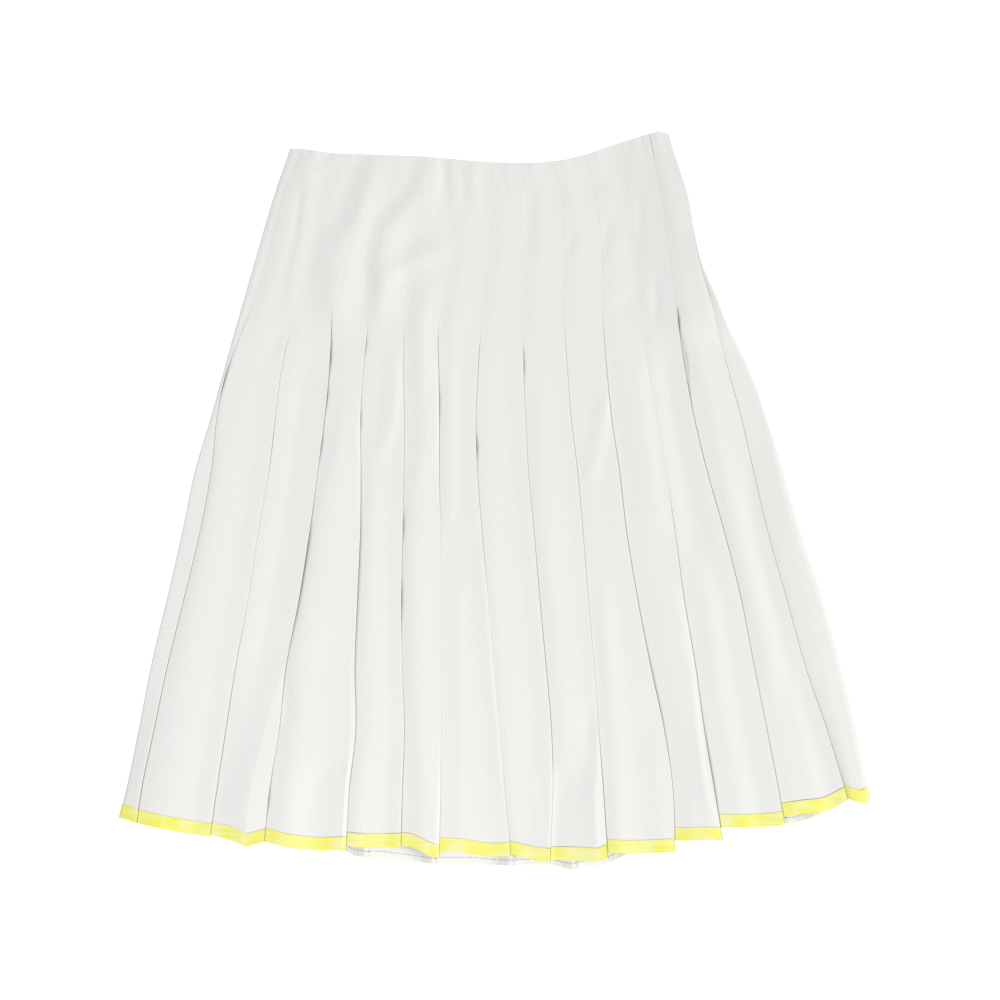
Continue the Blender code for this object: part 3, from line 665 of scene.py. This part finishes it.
def tuck_columns(number, pleat, fold, before, hem_edge, next_edge):
    """The columns of a pleat that its fold hides, from the fold to where the next panel comes out."""
    def depth(down):
        wanted = pleat.tuck_yoke + (pleat.tuck_hem - pleat.tuck_yoke) * opened(down)
        return np.minimum(wanted, TUCK_DEEPEST * (fold(down) - before(down)))

    def half(down):
        return tuck_gap(fold(down), down) / 2

    def tip_level(down):
        return TUCK_TIP_LEVEL * panel_level(down)

    def under_lip(down):
        return panel_level(down) - fold_pitch(down) - LIP_DROOP

    def under_step(down):
        return under_lip(down) - 2 * half(down) - gape_of(number, down)[1]

    def middle(layer, side):
        return lambda d: (1.0 - TUCK_MIDDLE) * layer(d) + TUCK_MIDDLE * (tip_level(d) + side * half(d))

    outs = (lambda d: under_lip(d) + fold_pitch(d) / 2, lambda d: under_lip(d) + TUCK_ROUNDED, under_lip,
            middle(under_lip, 1), tip_level, middle(under_step, -1), under_step)
    columns = []
    for out, (inwards, deep, edge_part) in zip(outs, TUCK_PLACES):
        short = TUCK_TIP_SHORT * np.sin(edge_part * np.pi)
        columns.append(Column(
            lambda d, inwards=inwards, deep=deep: fold(d) - inwards - deep * depth(d), out,
            hem_edge + (next_edge - hem_edge) * edge_part - short, everywhere(1.0)))
    # The tuck's hidden columns carry full painted shade, its first column less.
    return [columns[0]._replace(shade=everywhere(FOLD_EDGE_SHADE)), *columns[1:]]


def side_shade(inwards):
    """A function for how much painted shade a column that far inside a side has, where the cloth turns
    down.
    """
    return everywhere(SIDE_SHADE * share(inwards, SIDE_SHADE_WIDE, 0.0))


def end_shade(down):
    """How much painted shade darkens the last panel where it comes out from under the one beside it."""
    (start, full), (fading, end) = END_SHADE_DOWN
    return END_SHADE * ease(share(down, start, full)) * (1.0 - ease(share(down, fading, end)))


def end_drop(down):
    """How far the last panel lies below the others."""
    return END_DROP * panel_level(down) * share(down, *END_DROP_DOWN)


def front_columns():
    """The columns of the front, from its left side to its right one."""
    folds = [smooth_through(STATIONS, pleat.across) for pleat in FRONT_PLEATS]
    lefts = [left_side] + folds
    left_hem, right_hem = FRONT_HEMS[0].left, FRONT_HEMS[-1].fold

    def low(line, down):
        return panel_level(down) - fold_pitch(down) - tuck_gap(line(down), down)

    def narrow(down):
        return np.minimum((folds[0](down) - left_side(down)) / LEFT_TURN_FULL, 1)

    columns = [Column(lambda d: left_side(d) + SIDE_INWARDS, everywhere(SEAM_OUT), left_hem,
                      side_shade(SIDE_INWARDS))]
    columns += [Column(lambda d, inwards=inwards: left_side(d) + inwards * narrow(d),
                       lambda d, part=part: SEAM_OUT + (low(left_side, d) - SEAM_OUT) * part,
                       left_hem, side_shade(inwards)) for inwards, part in LEFT_TURN]
    for number, pleat in enumerate(FRONT_PLEATS):
        panel = panel_columns(number, lefts[number], folds[number])
        columns += panel if number else panel[len(LEFT_TURN):]
        columns += tuck_columns(number, pleat, folds[number], lefts[number], panel[-1].hem,
                                FRONT_HEMS[number + 1].left)
    last_panel = panel_columns(len(FRONT_PLEATS), folds[-1], right_side)
    columns += [column._replace(out=lambda d, out=column.out: out(d) - end_drop(d),
                                shade=column.shade or end_shade)
                for column in last_panel[:-len(RIGHT_TURN) - 1]]
    columns += [Column(lambda d, inwards=inwards: right_side(d) - inwards,
                       lambda d, out=out: low(right_side, d) - end_drop(d) + out,
                       right_hem, side_shade(inwards)) for inwards, out in RIGHT_TURN]
    return columns + [Column(lambda d: right_side(d) - SIDE_INWARDS, everywhere(SEAM_OUT), right_hem,
                             side_shade(SIDE_INWARDS))]


def back_columns():
    """The columns of the back, as seen from outside: from the sheet's right side to its left one."""
    def mirrored(line):
        return lambda down: -line(down)

    def placed(line, offset, out, shade=None):
        return Column(lambda d: line(d) + offset, out,
                      float(back_hem_down(-(line(HEM_MEASURED) + offset))), shade)

    def side(line, inwards, short):
        return placed(line, inwards, lambda d: panel_level(d) - short, side_shade(abs(inwards)))

    def between(before, fold, part):
        return lambda d: before(d) + BACK_AFTER_FOLD + (fold(d) - before(d) - BACK_BESIDE_FOLDS) * part

    def lip(fall):
        return lambda d: panel_level(d) - fall * (fold_pitch(d) + LIP_DROOP)

    def tucked_in(out, part):
        return lambda d: out(d) - BACK_TUCK_LOWER * part * TUCK_TIP_LEVEL * panel_level(d)

    def climbing(fold, part):
        return lambda d: panel_level(d) - (fold_pitch(d) + tuck_gap(fold(d), d)) * (1.0 - part)

    pleats = BACK_PLEATS[::-1]
    folds = [mirrored(smooth_through(BACK_STATIONS, pleat.across)) for pleat in pleats]
    befores = [mirrored(right_side), *folds]
    columns = [side(befores[0], inwards, short) for inwards, short in BACK_TURN]
    for pleat, before, fold in zip(pleats, befores, folds):
        columns += [placed(between(before, fold, part), 0.0, panel_level) for part in BACK_BETWEEN]
        columns += [placed(fold, -offset, lip(fall))
                    for offset, fall in zip(FROM_FOLD[3:], LIP_FALL[3:])]
        for tuck, inwards in zip(tuck_columns(-1, pleat, fold, before, 0.0, 0.0), BACK_TUCK_INWARDS):
            out = tucked_in(tuck.out, min(inwards / pleat.tuck_hem, 1.0))
            columns.append(placed(fold, -inwards, out, everywhere(BACK_TUCK_SHADE))._replace(
                across=tuck.across))
        columns += [placed(fold, offset, climbing(fold, part)) for offset, part in BACK_CLIMB]
    columns += [side(mirrored(left_side), -inwards, short) for inwards, short in BACK_TURN[::-1]]
    return [column._replace(across=mirrored(column.across)) for column in columns]


def lay_out(columns, yoke_rows, skirt_rows, waist_drop):
    """Where the columns' points lie, as arrays of rows by columns: across, down, out and shade."""
    table = []
    for number, column in enumerate(columns):
        waist = float(waist_down(column.across(np.array(float(STATIONS[0]))))) + waist_drop
        ribbon_top = column.hem - RIBBON_WIDTH
        downs = np.concatenate((
            waist + (RELEASE - waist) * yoke_rows,
            RELEASE + (ribbon_top - ABOVE_RIBBON - RELEASE) * skirt_rows,
            ribbon_top + RIBBON_WIDTH * RIBBON_ROWS))
        shade = column.shade(downs) if column.shade else np.zeros_like(downs)
        # The painted shadow line along the ribbon's edge is darker in some places than in others.
        uneven = 0.6 + 0.4 * np.sin(number * 0.55) * np.sin(number * 0.17)
        shade[-len(RIBBON_ROWS)] = max(shade[-len(RIBBON_ROWS)], column.line * uneven)
        table.append((column.across(downs), downs, column.out(downs), shade))
    return np.array(table).transpose(1, 2, 0)


def moved_out(across, height, distance):
    """The points of a cloth's rows moved out from its outer face by that distance."""
    run, climb = np.diff(across, axis=1), np.diff(height, axis=1)
    length = np.hypot(run, climb)
    normal = np.stack((-climb / length, run / length))
    mean = np.concatenate((normal[:, :, :1], (normal[:, :, 1:] + normal[:, :, :-1]) / 2,
                           normal[:, :, -1:]), axis=2)
    reach = distance / np.maximum((mean ** 2).sum(axis=0), SHARPEST_BEND)
    return across + mean[0] * reach, height + mean[1] * reach


def points_of(across, down, height):
    """Model points, in metres, of places on the sheet."""
    middle_across, middle_down = SHEET_CENTRE
    return np.stack((across - middle_across, middle_down - down, height), axis=-1) * MILLIMETRE


def layout_of(side, cloth):
    """A side's columns, and its points as arrays of rows: across, down, height and shade."""
    thickness = cloth.thickness / MILLIMETRE
    if side == "back":
        columns = back_columns()
        across, down, out, shade = lay_out(columns, BACK_YOKE_ROWS, BACK_SKIRT_ROWS, BACK_WAIST_DROP)
        lift = RIBBON_LIFT * ribbon_lift(across, down)
        return columns, across, down, thickness / 2 + lift + panel_level(down) - out, shade
    columns = front_columns()
    across, down, out, shade = lay_out(columns, YOKE_ROWS, SKIRT_ROWS, 0.0)
    relief = drape_height(across, down) - crease_depth(across, down) - pucker_depth(across, down)
    relief[:, (0, -1)] = 0.0
    height = front_height(across, down, out, thickness) + relief * cloth.crease
    return columns, across, down, height, shade


def made(name, shape, material):
    """An object of that shape in the scene, with smooth shading and its material."""
    mesh = bpy.data.meshes.new(name)
    shape.to_mesh(mesh)
    shape.free()
    mesh.shade_smooth()
    mesh.materials.append(material)
    piece = bpy.data.objects.new(name, mesh)
    bpy.context.scene.collection.objects.link(piece)
    return piece


def shell(name, points, shades, thickness, material):
    """A thin cloth through rows of points, with its own lengths as its UV map."""
    shape = bmesh.new()
    rows, columns = points.shape[:2]
    bmesh.ops.create_grid(shape, x_segments=columns - 1, y_segments=rows - 1, size=1.0)
    shape.verts.ensure_lookup_table()
    # A value at each point for the painted shade that darkens its colour.
    painted_shade = shape.verts.layers.float.new("painted_shade")
    cloth = shape.loops.layers.uv.new("cloth")
    run = np.linalg.norm(np.diff(points, axis=1), axis=2)
    along = np.concatenate((np.zeros((rows, 1)), run.cumsum(axis=1)), axis=1)[::-1]
    flat, shades = points[::-1], shades[::-1]
    for vertex in shape.verts:
        row, column = divmod(vertex.index, columns)
        vertex.co = flat[row, column]
        vertex[painted_shade] = shades[row, column]
    for face in shape.faces:
        for loop in face.loops:
            row, column = divmod(loop.vert.index, columns)
            loop[cloth].uv = (along[row, column], loop.vert.co.y)
    bmesh.ops.recalc_face_normals(shape, faces=shape.faces)
    piece = made(name, shape, material)
    wall = piece.modifiers.new("Cloth", "SOLIDIFY")
    wall.thickness = thickness
    wall.offset = 0.0
    return piece


def stitch_row(shape, line, length, spacing, thread):
    """Adds small stitches to the shape along a line of points."""
    points = [Vector(point) for point in line]
    size = Matrix.Diagonal((length, thread, thread, 1.0))
    covered = 0.0
    for start, end in zip(points, points[1:]):
        span = (end - start).length
        if span < 1e-6:
            continue
        direction = (end - start) / span
        turn = Vector((1.0, 0.0, 0.0)).rotation_difference(direction).to_matrix().to_4x4()
        while covered < span:
            place = Matrix.Translation(start + direction * covered)
            bmesh.ops.create_icosphere(shape, subdivisions=1, radius=0.5, matrix=place @ turn @ size)
            covered += spacing
        covered -= span


def stitches(name, lines, settings, sizes, material):
    """One mesh of the stitches along several lines, with these shares of the lengths in the settings."""
    shape = bmesh.new()
    for line in lines:
        stitch_row(shape, line, settings.length * sizes[0], settings.spacing * sizes[1],
                   settings.thread * sizes[2])
    return made(name, shape, material)


class Value:
    """A socket of a shader tree. Arithmetic on it adds Math nodes."""

    def __init__(self, paint, socket):
        self.paint = paint
        self.socket = socket

    def math(self, operation, first, second):
        return self.paint.node("Math", {"operation": operation}, {0: first, 1: second})

    def __add__(self, other):
        return self.math("ADD", self, other)

    def __sub__(self, other):
        return self.math("SUBTRACT", self, other)

    def __rsub__(self, other):
        return self.math("SUBTRACT", other, self)

    def __mul__(self, other):
        return self.math("MULTIPLY", self, other)

    __radd__ = __add__
    __rmul__ = __mul__


class Paint:
    """The shader tree of one material."""

    def __init__(self, name, roughness, **surface):
        self.material = bpy.data.materials.new(name)
        self.material.use_nodes = True
        self.tree = self.material.node_tree
        self.shader = self.tree.nodes["Principled BSDF"]
        self.surface("Roughness", roughness)
        for socket, value in surface.items():
            self.surface(socket.replace("_", " "), value)

    def node(self, kind, settings=None, values=None, output=0):
        """Adds a node, sets it, feeds its sockets, and gives one of its outputs."""
        node = self.tree.nodes.new("ShaderNode" + kind)
        for name, value in (settings or {}).items():
            setattr(node, name, value)
        for name, value in (values or {}).items():
            self.feed(node.inputs[name], value)
        return Value(self, node.outputs[output])

    def feed(self, socket, value):
        """Links a value to a socket, or sets it there."""
        if isinstance(value, Value):
            self.tree.links.new(value.socket, socket)
        else:
            socket.default_value = value

    def surface(self, socket, value):
        self.feed(self.shader.inputs[socket], value)

    def mix(self, part, first, second):
        """A colour between two, by a value from 0 to 1."""
        return self.node("Mix", {"data_type": "RGBA"}, {0: part, 6: first, 7: second}, 2)

    def stretched(self, value, low, high):
        """A value that goes from 0 to 1 as the one it is made of goes from low to high."""
        return self.node("MapRange", None, {"Value": value, "From Min": low, "From Max": high})

    def painted_shade(self):
        """How much painted shade darkens the surface here, from 0 to 1."""
        return self.node("Attribute", {"attribute_name": "painted_shade"}, None, 2)

    def noise(self, per_metre, detail=2.0):
        """Noise in the cloth's own lengths, with its cells that many to a metre each way."""
        place = self.node("UVMap", {"uv_map": "cloth"})
        place = self.node("Mapping", None, {"Vector": place, "Scale": (*per_metre, 1.0)})
        return self.node("TexNoise", None, {"Vector": place, "Scale": 1.0, "Detail": detail})

    def bump(self, height, strength, distance):
        """Raises the surface by a height from 0 to 1 of that distance."""
        self.surface("Normal", self.node("Bump", None, {
            "Height": height, "Strength": strength, "Distance": distance}))


def shaded(colour, part):
    """A colour made darker by a part of itself."""
    return (*(channel * part for channel in colour[:3]), 1.0)


def crepe_finish(cloth, name, colour):
    """White crepe: a fine pebbled weave, faint streaks along the panels, and painted shade in its folds."""
    paint = Paint(name, 0.82, Sheen_Weight=0.08, Sheen_Roughness=0.5)
    white = tuple(colour)
    pebble = paint.noise((1500.0, 1700.0), 3.0)
    grain = paint.noise((520.0, 620.0), 3.0)
    streak = paint.noise((330.0, 9.0))
    cloud = paint.noise((14.0, 9.0), 1.0)
    tint = paint.mix(cloud * 0.5, (*white, 1.0), shaded(white, 0.965))
    tint = paint.mix(streak * 0.45, tint, shaded(white, 0.975))
    tint = paint.mix(paint.stretched(grain, 0.3, 0.7) * 0.08, tint, (0.0, 0.0, 0.0, 1.0))
    # Painted shade: the colour goes towards the dark fold colour where the painted shade value is high.
    paint.surface("Base Color", paint.mix(paint.painted_shade() * cloth.fold_shade, tint, PAINTED_SHADE_COLOUR))
    paint.bump(pebble * 0.5 + streak * 0.5, 0.35, 0.12 * MILLIMETRE)
    return paint.material


def ribbon_finish(ribbon):
    """Yellow ribbon: fine ribs across it, paler streaks along it that are painted highlights of its sheen,
    and painted shade in its folds.
    """
    paint = Paint("yellow_ribbon", 0.5, Sheen_Weight=0.1)
    yellow, pale = tuple(ribbon.colour), tuple(ribbon.streak_highlight_colour)
    streak = paint.noise((26.0, 850.0))
    patch = paint.noise((60.0, 30.0))
    # Paler streaks and patches are painted highlights of the ribbon's sheen.
    painted_highlight = paint.stretched(streak * 0.65 + patch * 0.45, 0.45, 0.67)
    tint = paint.mix(painted_highlight, (*yellow, 1.0), (*pale, 1.0))
    # Painted shade in its folds.
    paint.surface("Base Color", paint.mix(paint.painted_shade() * 0.85, tint, shaded(yellow, 0.3)))
    rib = paint.node("TexWave", {"bands_direction": "X"}, {
        "Vector": paint.node("UVMap", {"uv_map": "cloth"}), "Scale": 400.0})
    paint.bump(rib * 0.6 + streak * 0.4, 0.4, 0.15 * MILLIMETRE)
    return paint.material


def thread_finish(name, colour):
    """Matt sewing thread."""
    paint = Paint(name, 0.7)
    coat = paint.node("TexNoise", None, {
        "Vector": paint.node("TexCoord", None, None, 3), "Scale": 2500.0})
    paint.surface("Base Color", paint.mix(coat, (*colour, 1.0), shaded(colour, 0.8)))
    return paint.material


class ClothSettings(bpy.types.PropertyGroup):
    """The white cloth."""
    thickness: FloatProperty(
        name="Thickness", description="How thick the cloth is",
        default=0.3 * MILLIMETRE, min=0.0001, subtype="DISTANCE", unit="LENGTH")
    colour: FloatVectorProperty(
        name="Colour", description="The cloth's colour",
        default=(0.80, 0.805, 0.785), min=0.0, max=1.0, subtype="COLOR")
    # The back's inside has a paler colour than the front's cloth: painted light, which lifts it out of the
    # front hem's shade.
    inside_painted_light_colour: FloatVectorProperty(
        name="Inside", description="The colour of the back's inside",
        default=(0.89, 0.89, 0.875), min=0.0, max=1.0, subtype="COLOR")
    # How strongly the painted shade in folds darkens the cloth.
    fold_shade: FloatProperty(
        name="Fold shade", description="How dark the inside of a fold is",
        default=0.9, min=0.0, max=1.0)
    crease: FloatProperty(
        name="Creases", description="How deep the soft creases are, 1 as laid out",
        default=1.0, min=0.0, max=2.0)


class RibbonSettings(bpy.types.PropertyGroup):
    """The ribbon along the hem."""
    thickness: FloatProperty(
        name="Thickness", description="How thick the ribbon is",
        default=0.3 * MILLIMETRE, min=0.0001, subtype="DISTANCE", unit="LENGTH")
    colour: FloatVectorProperty(
        name="Colour", description="The ribbon's colour",
        default=(0.83, 0.807, 0.095), min=0.0, max=1.0, subtype="COLOR")
    # Paler streaks are painted highlights of the ribbon's sheen.
    streak_highlight_colour: FloatVectorProperty(
        name="Streaks", description="The colour of its paler streaks",
        default=(0.85, 0.84, 0.42), min=0.0, max=1.0, subtype="COLOR")
    past_edge: FloatProperty(
        name="Past the edge", description="How far it reaches past the hem",
        default=0.4 * MILLIMETRE, min=0.0, subtype="DISTANCE", unit="LENGTH")


class StitchSettings(bpy.types.PropertyGroup):
    """The stitches."""
    length: FloatProperty(
        name="Length", description="How long a stitch is",
        default=1.7 * MILLIMETRE, min=0.0001, subtype="DISTANCE", unit="LENGTH")
    spacing: FloatProperty(
        name="Spacing", description="From one stitch to the next",
        default=2.8 * MILLIMETRE, min=0.0005, subtype="DISTANCE", unit="LENGTH")
    thread: FloatProperty(
        name="Thread", description="How thick the thread is",
        default=0.25 * MILLIMETRE, min=0.0001, subtype="DISTANCE", unit="LENGTH")
    colour: FloatVectorProperty(
        name="Colour", description="The white thread's colour",
        default=(0.58, 0.57, 0.53), min=0.0, max=1.0, subtype="COLOR")


class StageSettings(bpy.types.PropertyGroup):
    """The floor, lights and camera."""
    floor: FloatVectorProperty(
        name="Floor", description="The floor's colour",
        default=(0.8, 0.8, 0.8), min=0.0, max=1.0, subtype="COLOR")
    around: FloatProperty(
        name="Around", description="How bright the light from all round is", default=0.59, min=0.0)
    key: FloatProperty(
        name="Key", description="How bright the light from the right is", default=2.45, min=0.0)
    fill: FloatProperty(
        name="Fill", description="How bright the light by the hem is", default=3.7, min=0.0)
    softness: FloatProperty(
        name="Softness", description="How wide the light from the right is",
        default=0.45, min=0.0, subtype="ANGLE")
    camera_height: FloatProperty(
        name="Camera height", description="The camera's height",
        default=3.0, min=0.5, subtype="DISTANCE", unit="LENGTH")


class SkirtSettings(bpy.types.PropertyGroup):
    """All the skirt's settings."""
    cloth: PointerProperty(type=ClothSettings)
    ribbon: PointerProperty(type=RibbonSettings)
    stitch: PointerProperty(type=StitchSettings)
    stage: PointerProperty(type=StageSettings)


class SKIRT_OT_front(bpy.types.Operator):
    """Lays out the front of the skirt, with its pleats, creases and open folds"""
    bl_idname = "skirt.front"
    bl_label = "Front"

    def execute(self, context):
        cloth = context.scene.skirt.cloth
        columns, across, down, height, shade = layout_of("front", cloth)
        piece = shell("front_cloth", points_of(across, down, height), shade, cloth.thickness,
                      crepe_finish(cloth, "white_crepe", cloth.colour))
        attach(piece, "root")
        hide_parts("front_panel")
        return {"FINISHED"}


class SKIRT_OT_back(bpy.types.Operator):
    """Lays out the back of the skirt, with its outer face on the surface"""
    bl_idname = "skirt.back"
    bl_label = "Back"

    def execute(self, context):
        cloth = context.scene.skirt.cloth
        columns, across, down, height, shade = layout_of("back", cloth)
        piece = shell("back_cloth", points_of(across, down, height), shade, cloth.thickness,
                      # The back's material uses the paler inside colour, which is painted light.
                      crepe_finish(cloth, "back_crepe", cloth.inside_painted_light_colour))
        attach(piece, "root")
        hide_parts("back_panel")
        return {"FINISHED"}


class SKIRT_OT_ribbons(bpy.types.Operator):
    """Sews the ribbon along the hem of the front and of the back"""
    bl_idname = "skirt.ribbons"
    bl_label = "Hem ribbons"

    def execute(self, context):
        settings = context.scene.skirt
        cloth, ribbon = settings.cloth, settings.ribbon
        material = ribbon_finish(ribbon)
        distance = (cloth.thickness + ribbon.thickness) / 2 / MILLIMETRE + RIBBON_CLEAR
        rows = slice(-len(RIBBON_ROWS), None)
        for side, past_part in (("front", 1.0), ("back", BACK_PAST_EDGE)):
            columns, across, down, height, shade = layout_of(side, cloth)
            moved_across, moved_height = moved_out(across[rows], height[rows], distance)
            lower = down[rows].copy()
            lower[0] += RIBBON_TOP_LOWER
            lower[-1] += ribbon.past_edge * past_part / MILLIMETRE
            # The ribbon takes the cloth's painted shade near its hem, made stronger.
            ribbon_shade = np.minimum(RIBBON_SHADE * np.repeat(shade[-2:-1], len(lower), axis=0), 1.0)
            piece = shell(side + "_ribbon", points_of(moved_across, lower, moved_height), ribbon_shade,
                          ribbon.thickness, material)
            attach(piece, "root")
            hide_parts(side + "_hem_ribbon")
        return {"FINISHED"}


class SKIRT_OT_stitches(bpy.types.Operator):
    """Sews the pleats down, and stitches the hem's turning on the back's inside"""
    bl_idname = "skirt.stitches"
    bl_label = "Stitches"

    def execute(self, context):
        settings = context.scene.skirt
        stitch, top = settings.stitch, settings.cloth.thickness / MILLIMETRE / 2
        white = thread_finish("white_thread", tuple(stitch.colour))
        grey = thread_finish("grey_thread", tuple(GREY_THREAD * part for part in stitch.colour))
        columns, across, down, height, shade = layout_of("front", settings.cloth)
        points = points_of(across, down, height + top)
        sewn = [index for index, column in enumerate(columns) if column.sewn]
        lines = [points[SEWN_ROWS, index] for index in sewn[:-1]]
        pleats = stitches("pleat_stitches", lines, stitch, PLEAT_STITCHES, white)
        columns, across, down, height, shade = layout_of("back", settings.cloth)
        inside = points_of(across, down, height + top)
        hem = stitches("back_hem_stitches", [inside[HEM_STITCH_ROW]], stitch, HEM_STITCHES, grey)
        for piece in (pleats, hem):
            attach(piece, "root")
        return {"FINISHED"}


class SKIRT_OT_stage(bpy.types.Operator):
    """Sets up the pale floor, the soft lights and the camera above"""
    bl_idname = "skirt.stage"
    bl_label = "Stage"

    def execute(self, context):
        stage = context.scene.skirt.stage
        self.lay_floor(stage)
        self.light(context.scene, stage)
        self.hang_camera(context.scene, stage)
        return {"FINISHED"}

    def lay_floor(self, stage):
        shape = bmesh.new()
        bmesh.ops.create_grid(shape, x_segments=1, y_segments=1, size=FLOOR_SIZE,
                              matrix=Matrix.Translation((0.0, 0.0, FLOOR_LEVEL)))
        paint = Paint("pale_floor", 0.9, Base_Color=(*stage.floor, 1.0),
                      Emission_Color=(1.0, 1.0, 1.0, 1.0), Emission_Strength=FLOOR_GLOW)
        floor = made("floor", shape, paint.material)

    def light(self, scene, stage):
        scene.view_settings.view_transform = "Standard"
        scene.world = bpy.data.worlds.new("studio")
        scene.world.use_nodes = True
        background = scene.world.node_tree.nodes["Background"]
        background.inputs["Color"].default_value = AROUND_COLOUR
        background.inputs["Strength"].default_value = stage.around
        key = self.lamp(scene, "key", "SUN", KEY_FROM, stage.key)
        key.angle = stage.softness
        key.color = KEY_COLOUR
        self.lamp(scene, "fill", "AREA", FILL_FROM, stage.fill).size = FILL_SIZE

    def lamp(self, scene, name, kind, place, energy):
        """A lamp at a place, turned to the middle of the skirt."""
        lamp = bpy.data.lights.new(name, kind)
        lamp.energy = energy
        light = bpy.data.objects.new(name, lamp)
        light.location = place
        light.rotation_euler = (-Vector(place)).to_track_quat("-Z", "Y").to_euler()
        scene.collection.objects.link(light)
        return lamp

    def hang_camera(self, scene, stage):
        lens = bpy.data.cameras.new("camera")
        camera = bpy.data.objects.new("camera", lens)
        middle = points_of(*IMAGE_CENTRE, 0.0)
        camera.location = (middle[0], middle[1], stage.camera_height)
        lens.sensor_fit = "HORIZONTAL"
        image_width = 2 * IMAGE_CENTRE[0] * MILLIMETRE
        lens.lens = lens.sensor_width * (stage.camera_height - MIDDLE_HEIGHT) / image_width
        scene.collection.objects.link(camera)
        scene.camera = camera


class SKIRT_PT_panel(bpy.types.Panel):
    """The skirt's pieces and settings."""
    bl_idname = "SKIRT_PT_panel"
    bl_label = "Pleated skirt"
    bl_space_type = "VIEW_3D"
    bl_region_type = "UI"
    bl_category = "Skirt"

    def draw(self, context):
        for operator in OPERATORS:
            self.layout.operator(operator.bl_idname)
        skirt = context.scene.skirt
        for group in (skirt.cloth, skirt.ribbon, skirt.stitch, skirt.stage):
            for name in group.__annotations__:
                self.layout.prop(group, name)


OPERATORS = (SKIRT_OT_ribbons, SKIRT_OT_stitches, SKIRT_OT_front, SKIRT_OT_back, SKIRT_OT_stage)
CLASSES = (ClothSettings, RibbonSettings, StitchSettings, StageSettings, SkirtSettings,
           *OPERATORS, SKIRT_PT_panel)


def register():
    for cls in CLASSES:
        bpy.utils.register_class(cls)
    bpy.types.Scene.skirt = PointerProperty(type=SkirtSettings)


def unregister():
    del bpy.types.Scene.skirt
    for cls in reversed(CLASSES):
        bpy.utils.unregister_class(cls)


def main():
    register()
    bpy.ops.skirt.ribbons()
    bpy.ops.skirt.stitches()
    bpy.ops.skirt.front()
    bpy.ops.skirt.back()
    bpy.ops.skirt.stage()


if __name__ == "__main__":
    main()
